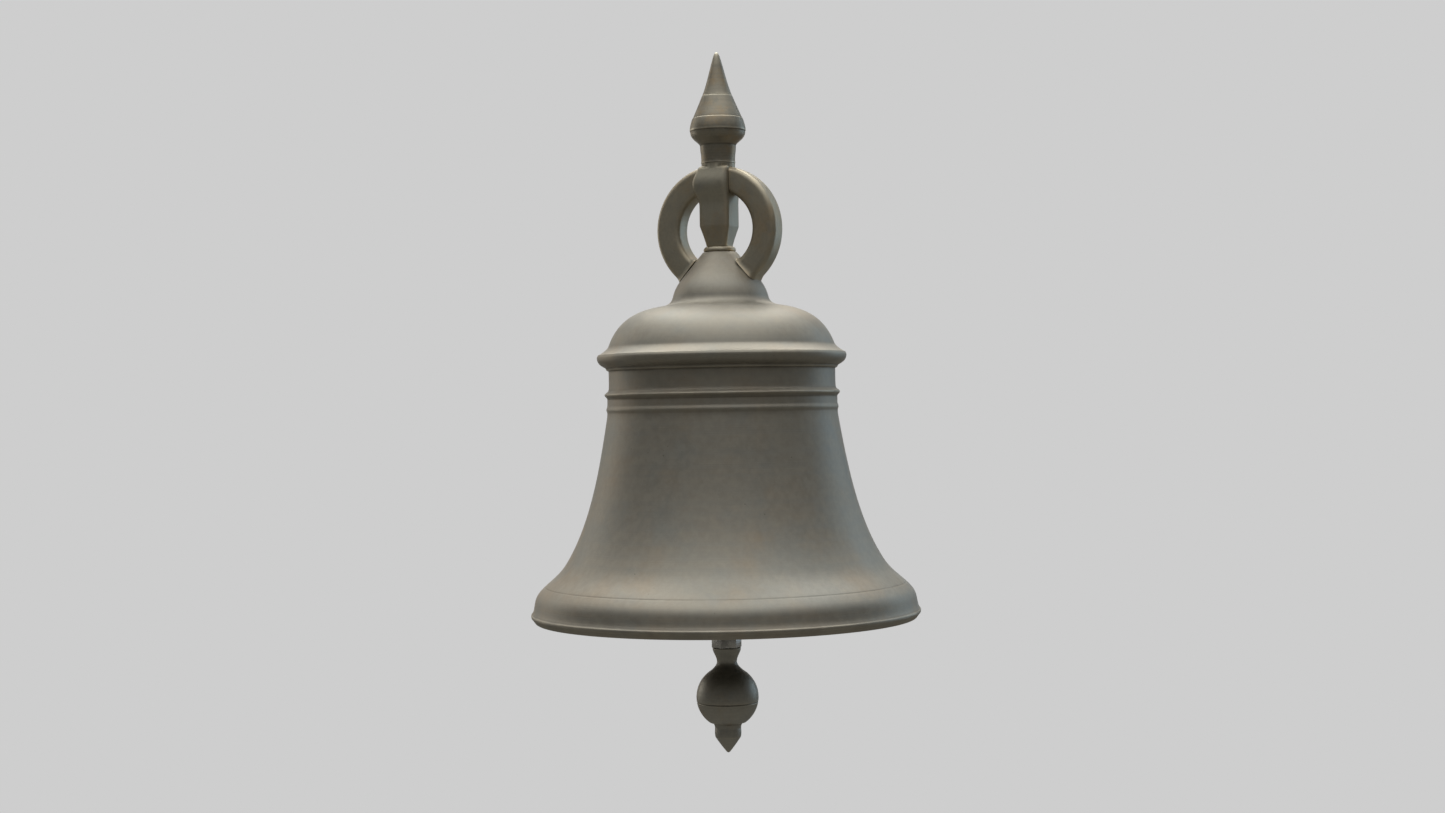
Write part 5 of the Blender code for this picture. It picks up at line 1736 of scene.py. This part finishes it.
# ---------------------------------------------------------------- clapper
@dataclass
class Clapper:
    """The forged shank with its eye and thread, the lock nut, the ball and the spear tip."""

    shank_end: float = field(default_factory=lambda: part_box("clapper_shank")[0].z - LIP)
    tip_end: float = field(default_factory=lambda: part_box("clapper_tip")[0].z - LIP)
    tip_top: float = field(default_factory=lambda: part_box("clapper_tip")[1].z - LIP)
    ball_top: float = field(default_factory=lambda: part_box("clapper_ball")[1].z - LIP)
    eye_width: float = 0.0180
    eye_bore: float = 0.0095
    eye_wall: float = 0.0055
    top_radius: float = 0.0080
    foot_radius: float = 0.0100
    foot: float = 0.0120
    thread_radius: float = 0.0080
    thread_pitch: float = 0.0020
    nut: tuple[float, float] = (0.0270, 0.0120)
    neck_top_radius: float = 0.0147
    neck_radius: float = 0.0103
    ball_centre: float = -0.0810
    ball_radius: float = 0.0320
    groove: tuple[float, float] = (0.0050, 0.0007)
    ball_foot: float = 0.0185
    knob: float = 0.0135
    tip_bore: float = 0.0120

    def shank_half(self, height: float) -> tuple[float, float]:
        """Half the shank's width across the eye and along it, at a height.

        Args:
            height: height above the lip.

        Returns:
            Both halves, in metres.
        """
        share = min(1.0, max(0.0, (height - self.foot) / (PIVOT - 0.04 - self.foot)))
        round_half = self.foot_radius + (self.top_radius - self.foot_radius) * share
        if height < self.foot + 0.0020:
            fall = smooth_step(self.foot - 0.0020, self.foot + 0.0020, height)
            round_half = self.thread_radius + (self.foot_radius - self.thread_radius) * fall
        reach = self.eye_bore + self.eye_wall
        near = max(0.0, reach**2 - (height - PIVOT) ** 2)
        eye_half = math.sqrt(near)
        blend = smooth_step(PIVOT - reach - 0.0110, PIVOT - reach + 0.0050, height)
        wide = round_half + (self.eye_width / 2 - round_half) * blend
        if height < PIVOT:
            neck = round_half * (1 - smooth_step(PIVOT - reach, PIVOT, height))
            return wide, (eye_half**3 + neck**3) ** (1 / 3)
        return self.eye_width / 2, eye_half

    def shank(self, shop: Workshop) -> bpy.types.Mesh:
        """The forged shank, its eye bored and its foot threaded.

        Args:
            shop: the workshop.

        Returns:
            The mesh, in place.
        """
        top = PIVOT + self.eye_bore + self.eye_wall
        step = self.thread_pitch / ROWS_PER_TURN
        rows = list(np.arange(self.shank_end + 0.0010, self.foot - 0.0022, step))
        rows += list(np.arange(self.foot - 0.0020, self.foot + 0.0022, 0.0004))
        rows += list(np.linspace(self.foot + 0.0030, PIVOT - 0.0300, 40))
        rows += list(PIVOT - 0.0290 + 0.0290 * np.linspace(0, 1, 26))
        rows += [PIVOT + (top - PIVOT) * math.sin(math.radians(90 * i / 22)) for i in range(1, 22)]
        sections = []
        for height in rows:
            wide, deep = self.shank_half(height)
            square = smooth_step(PIVOT - 0.0300, PIVOT - 0.0080, height)
            corner = min(wide, deep) * (1 - square) + min(0.0022, 0.9 * min(wide, deep)) * square
            points = rounded_rectangle(2 * wide, 2 * deep, FULL_ROUND * min(corner, wide, deep), 11)
            sections.append([(x, y, height + LIP) for x, y in points])
        radius = self.thread_radius - 0.0010
        end = rounded_rectangle(2 * radius, 2 * radius, FULL_ROUND * radius, 11)
        first = [(x, y, self.shank_end + LIP) for x, y in end]
        mesh = lofted("clapper_shank", [first, *sections])
        bore = along_x(prism("eye_bore", polygon(self.eye_bore, 64), -self.eye_width, self.eye_width))
        mesh = shop.combined(mesh, [("DIFFERENCE", bore)], 0.0006)
        low, high = self.shank_end + 0.0004 + LIP, self.foot - 0.0024 + LIP
        return cleaned(shop.threaded(mesh, FORGED_IRON, self.thread_radius, self.thread_pitch, low, high))

    def ball_outline(self) -> Outline:
        """The ball's flared neck, the ball with its scribed line, and its bore.

        Returns:
            The outline, in heights above the lip.
        """
        top, centre, radius = self.ball_top, self.ball_centre, self.ball_radius
        bore, neck = self.thread_radius + GAP, (self.neck_radius, top - 0.0145)
        join = math.radians(32)
        cheek = (radius * math.sin(join), centre + radius * math.cos(join))
        wide = self.neck_top_radius
        made = Outline((bore, top)).line((wide, top), (wide - 0.0002, top - 0.0020))
        made.curve((wide - 0.0012, top - 0.0060), (neck[0], neck[1] + 0.0050), neck, 16)
        made.bend((0.0, -0.0030), (-0.0034, 0.0028), cheek, 12)
        line = math.radians(90) + math.asin(self.groove[0] / radius)
        last = math.pi - math.asin(self.ball_foot / radius)
        angles = [join + (line - 0.04 - join) * i / 24 for i in range(1, 25)]
        angles += [line + 0.04 * k / 6 for k in range(-5, 7)]
        angles += [line + 0.04 + (last - line - 0.04) * i / 16 for i in range(1, 17)]
        for angle in angles:
            dip = self.groove[1] * math.exp(-(((angle - line) / 0.014) ** 2))
            made.line(((radius - dip) * math.sin(angle), centre + (radius - dip) * math.cos(angle)))
        return made.line((bore, made.points[-1][1]))

    def tip_outline(self) -> Outline:
        """The knob and the spear point, with the bore that screws on the shank.

        Returns:
            The outline, in heights above the lip.
        """
        top, end, bore = self.tip_top, self.tip_end, self.thread_radius + GAP
        knob, floor = self.knob, top - self.tip_bore
        knob_top, knob_foot = (knob, top - 0.0068), (knob - 0.0004, top - 0.0148)
        made = Outline((0.0, floor)).line((bore, floor), (bore, top), (self.ball_foot - 0.0020, top))
        made.curve((self.ball_foot - 0.0046, top - 0.0010), (knob - 0.0002, knob_top[1] + 0.0028), knob_top)
        made.curve((knob + 0.0003, top - 0.0090), (knob + 0.0002, top - 0.0125), knob_foot, 10)
        made.curve((knob - 0.0018, top - 0.0168), (0.0078, end + 0.0082), (0.0018, end + 0.0009), 18)
        return made.curve((0.0012, end + 0.0003), (0.0006, end), (0.0, end), 5)

    def build(self, shop: Workshop) -> None:
        """Builds the clapper's pieces.

        Args:
            shop: the workshop.
        """
        shop.hand_over(self.shank(shop), "clapper_shank", FORGED_IRON, Body.CLAPPER, sharp=FORGED_EDGE)
        base = self.ball_top + GAP + LIP
        nut = hex_nut(shop, "clapper_lock_nut", self.nut[0], self.thread_radius + GAP, base, self.nut[1])
        shop.hand_over(nut, "clapper_lock_nut", BRIGHT_STEEL, Body.CLAPPER, sharp=700.0)
        outline = from_lip(self.ball_outline().softened(0.0005, True).divided(0.0040, True))
        mesh = shop.turned("clapper_ball", outline, CLAPPER_BRONZE, 144, True, 0.00020, 12.0)
        shop.hand_over(mesh, "clapper_ball", CLAPPER_BRONZE, Body.CLAPPER)
        outline = from_lip(self.tip_outline().softened(0.0005).divided(0.0030))
        mesh = shop.turned("clapper_tip", outline, CLAPPER_BRONZE, 112, unevenness=0.00016, seed=13.0)
        shop.hand_over(mesh, "clapper_tip", CLAPPER_BRONZE, Body.CLAPPER)


# ---------------------------------------------------------------- studio
@dataclass
class Studio:
    """A pale floor, soft light from above and from both sides, and the camera."""

    floor_drop: float = 2.60
    floor_half: float = 30.0
    pale: float = 0.617
    floor_tone: Colour = (0.19, 0.182, 0.165)
    glow: tuple[Point, ...] = ((0.0, 0.075), (0.5, 0.035), (0.75, 0.080), (1.0, 0.84))
    glow_strength: float = 2.0
    panels: tuple[tuple[str, Place, Point, float, Colour], ...] = (
        ("overhead", (-0.5, 1.3, 2.3), (2.5, 2.2), 46.0, (1.0, 0.975, 0.93)),
        ("backdrop", (-1.2, 2.9, 0.1), (2.6, 1.8), 9.0, (1.0, 0.98, 0.95)),
        ("left_wall", (-2.9, 0.75, 0.45), (1.6, 2.4), 11.0, (1.0, 0.95, 0.87)),
        ("right_wall", (1.7, 2.5, 0.45), (1.6, 2.4), 12.0, (0.62, 0.82, 1.0)))
    panel_aim: Place = (0.0, 0.0, -0.15)
    lens: float = 50.0
    sensor: float = 36.0
    azimuth: float = 22.0
    distance: float = 2.068
    eye_height: float = -0.182
    lean: float = -1.0

    def floor(self) -> None:
        """Lays the floor below the bell."""
        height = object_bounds()[0].z - self.floor_drop
        shape = bmesh.new()
        bmesh.ops.create_grid(shape, x_segments=8, y_segments=8, size=self.floor_half)
        bmesh.ops.translate(shape, vec=(0, 0, height), verts=shape.verts)
        floor = in_scene("studio_floor", mesh_of(shape, "studio_floor"))
        made, graph = new_material("pale_floor")
        made.node_tree.nodes.remove(made.node_tree.nodes["Principled BSDF"])
        glow, matt = graph.node("ShaderNodeEmission"), graph.node("ShaderNodeBsdfDiffuse")
        glow.inputs["Color"].default_value = (self.pale, self.pale, self.pale, 1.0)
        matt.inputs["Color"].default_value = (*self.floor_tone, 1.0)
        mixed = graph.seen(matt.outputs[0], glow.outputs[0])
        graph.feed(made.node_tree.nodes["Material Output"].inputs["Surface"], mixed)
        floor.data.materials.append(made)
        floor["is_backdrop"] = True

    def sky(self) -> None:
        """Sets the plain pale surroundings and the dim, even light that they give."""
        world = bpy.data.worlds.new("studio")
        world.use_nodes = True
        bpy.context.scene.world = world
        graph = Graph(world.node_tree)
        shown, light = world.node_tree.nodes["Background"], graph.node("ShaderNodeBackground")
        shown.inputs["Color"].default_value = (self.pale, self.pale, self.pale, 1.0)
        upward = graph.split(graph.node("ShaderNodeTexCoord").outputs["Generated"])[2]
        rise = graph.node("ShaderNodeValToRGB", {0: graph.math("MULTIPLY_ADD", upward, 0.5, 0.5)})
        stops = rise.color_ramp.elements
        for place, _ in self.glow[1:-1]:
            stops.new(place)
        for i, (_, tone) in enumerate(self.glow):
            stops[i].color = (tone, tone, 0.97 * tone, 1.0)
        graph.feed(light.inputs["Color"], rise.outputs[0])
        light.inputs["Strength"].default_value = self.glow_strength
        mixed = graph.seen(light.outputs[0], shown.outputs[0])
        graph.feed(world.node_tree.nodes["World Output"].inputs["Surface"], mixed)

    def panel(self, name: str, spot: Place, size: Point, power: float, colour: Colour) -> None:
        """Hangs a soft light panel that faces the bell.

        Args:
            name: the light's name.
            spot: where it hangs.
            size: its width and height.
            power: its power in watts.
            colour: its colour.
        """
        data = bpy.data.lights.new(name, "AREA")
        data.shape, data.size, data.size_y = "RECTANGLE", size[0], size[1]
        data.energy, data.color = power, colour
        panel = in_scene(name, data)
        panel.location = spot
        panel.rotation_euler = (Vector(self.panel_aim) - Vector(spot)).to_track_quat("-Z", "Y").to_euler()
        panel.visible_camera = False

    def lights(self) -> None:
        """Hangs the panels: a broad one overhead, set back, a dim one behind and one at each side."""
        for panel in self.panels:
            self.panel(*panel)

    def camera(self) -> None:
        """Sets up the camera, level with the bell's waist and turned a little round it."""
        turn = math.radians(self.azimuth)
        spot = Vector((math.sin(turn) * self.distance, -math.cos(turn) * self.distance, self.eye_height))
        look = (Vector((0, 0, self.eye_height)) - spot).to_track_quat("-Z", "Y").to_matrix().to_4x4()
        data = bpy.data.cameras.new("camera")
        data.lens, data.sensor_width = self.lens, self.sensor
        camera = in_scene("camera", data)
        lean = Matrix.Rotation(math.radians(self.lean), 4, "Z")
        camera.matrix_world = Matrix.Translation(spot) @ look @ lean
        bpy.context.scene.camera = camera

    def build(self) -> None:
        """Sets up the whole studio."""
        self.camera()
        self.floor()
        self.sky()
        self.lights()
        bpy.context.scene.view_settings.view_transform = "Standard"


def main() -> None:
    """Builds every sub-assembly in order."""
    logging.basicConfig(level=logging.INFO, format="%(name)s: %(message)s")
    shop = Workshop()
    bell = BellCasting()
    crown = Crown(bell)
    bell.build(shop, [crown.socket(side, GAP, False) for side in (-1, 1)])
    crown.build(shop)
    Finial().build(shop)
    CrownStaple().build(shop)
    ClapperPivot().build(shop)
    Clapper().build(shop)
    Studio().build()
    LOG.info("%d pieces built", len(shop.pieces))


if __name__ == "__main__":
    main()
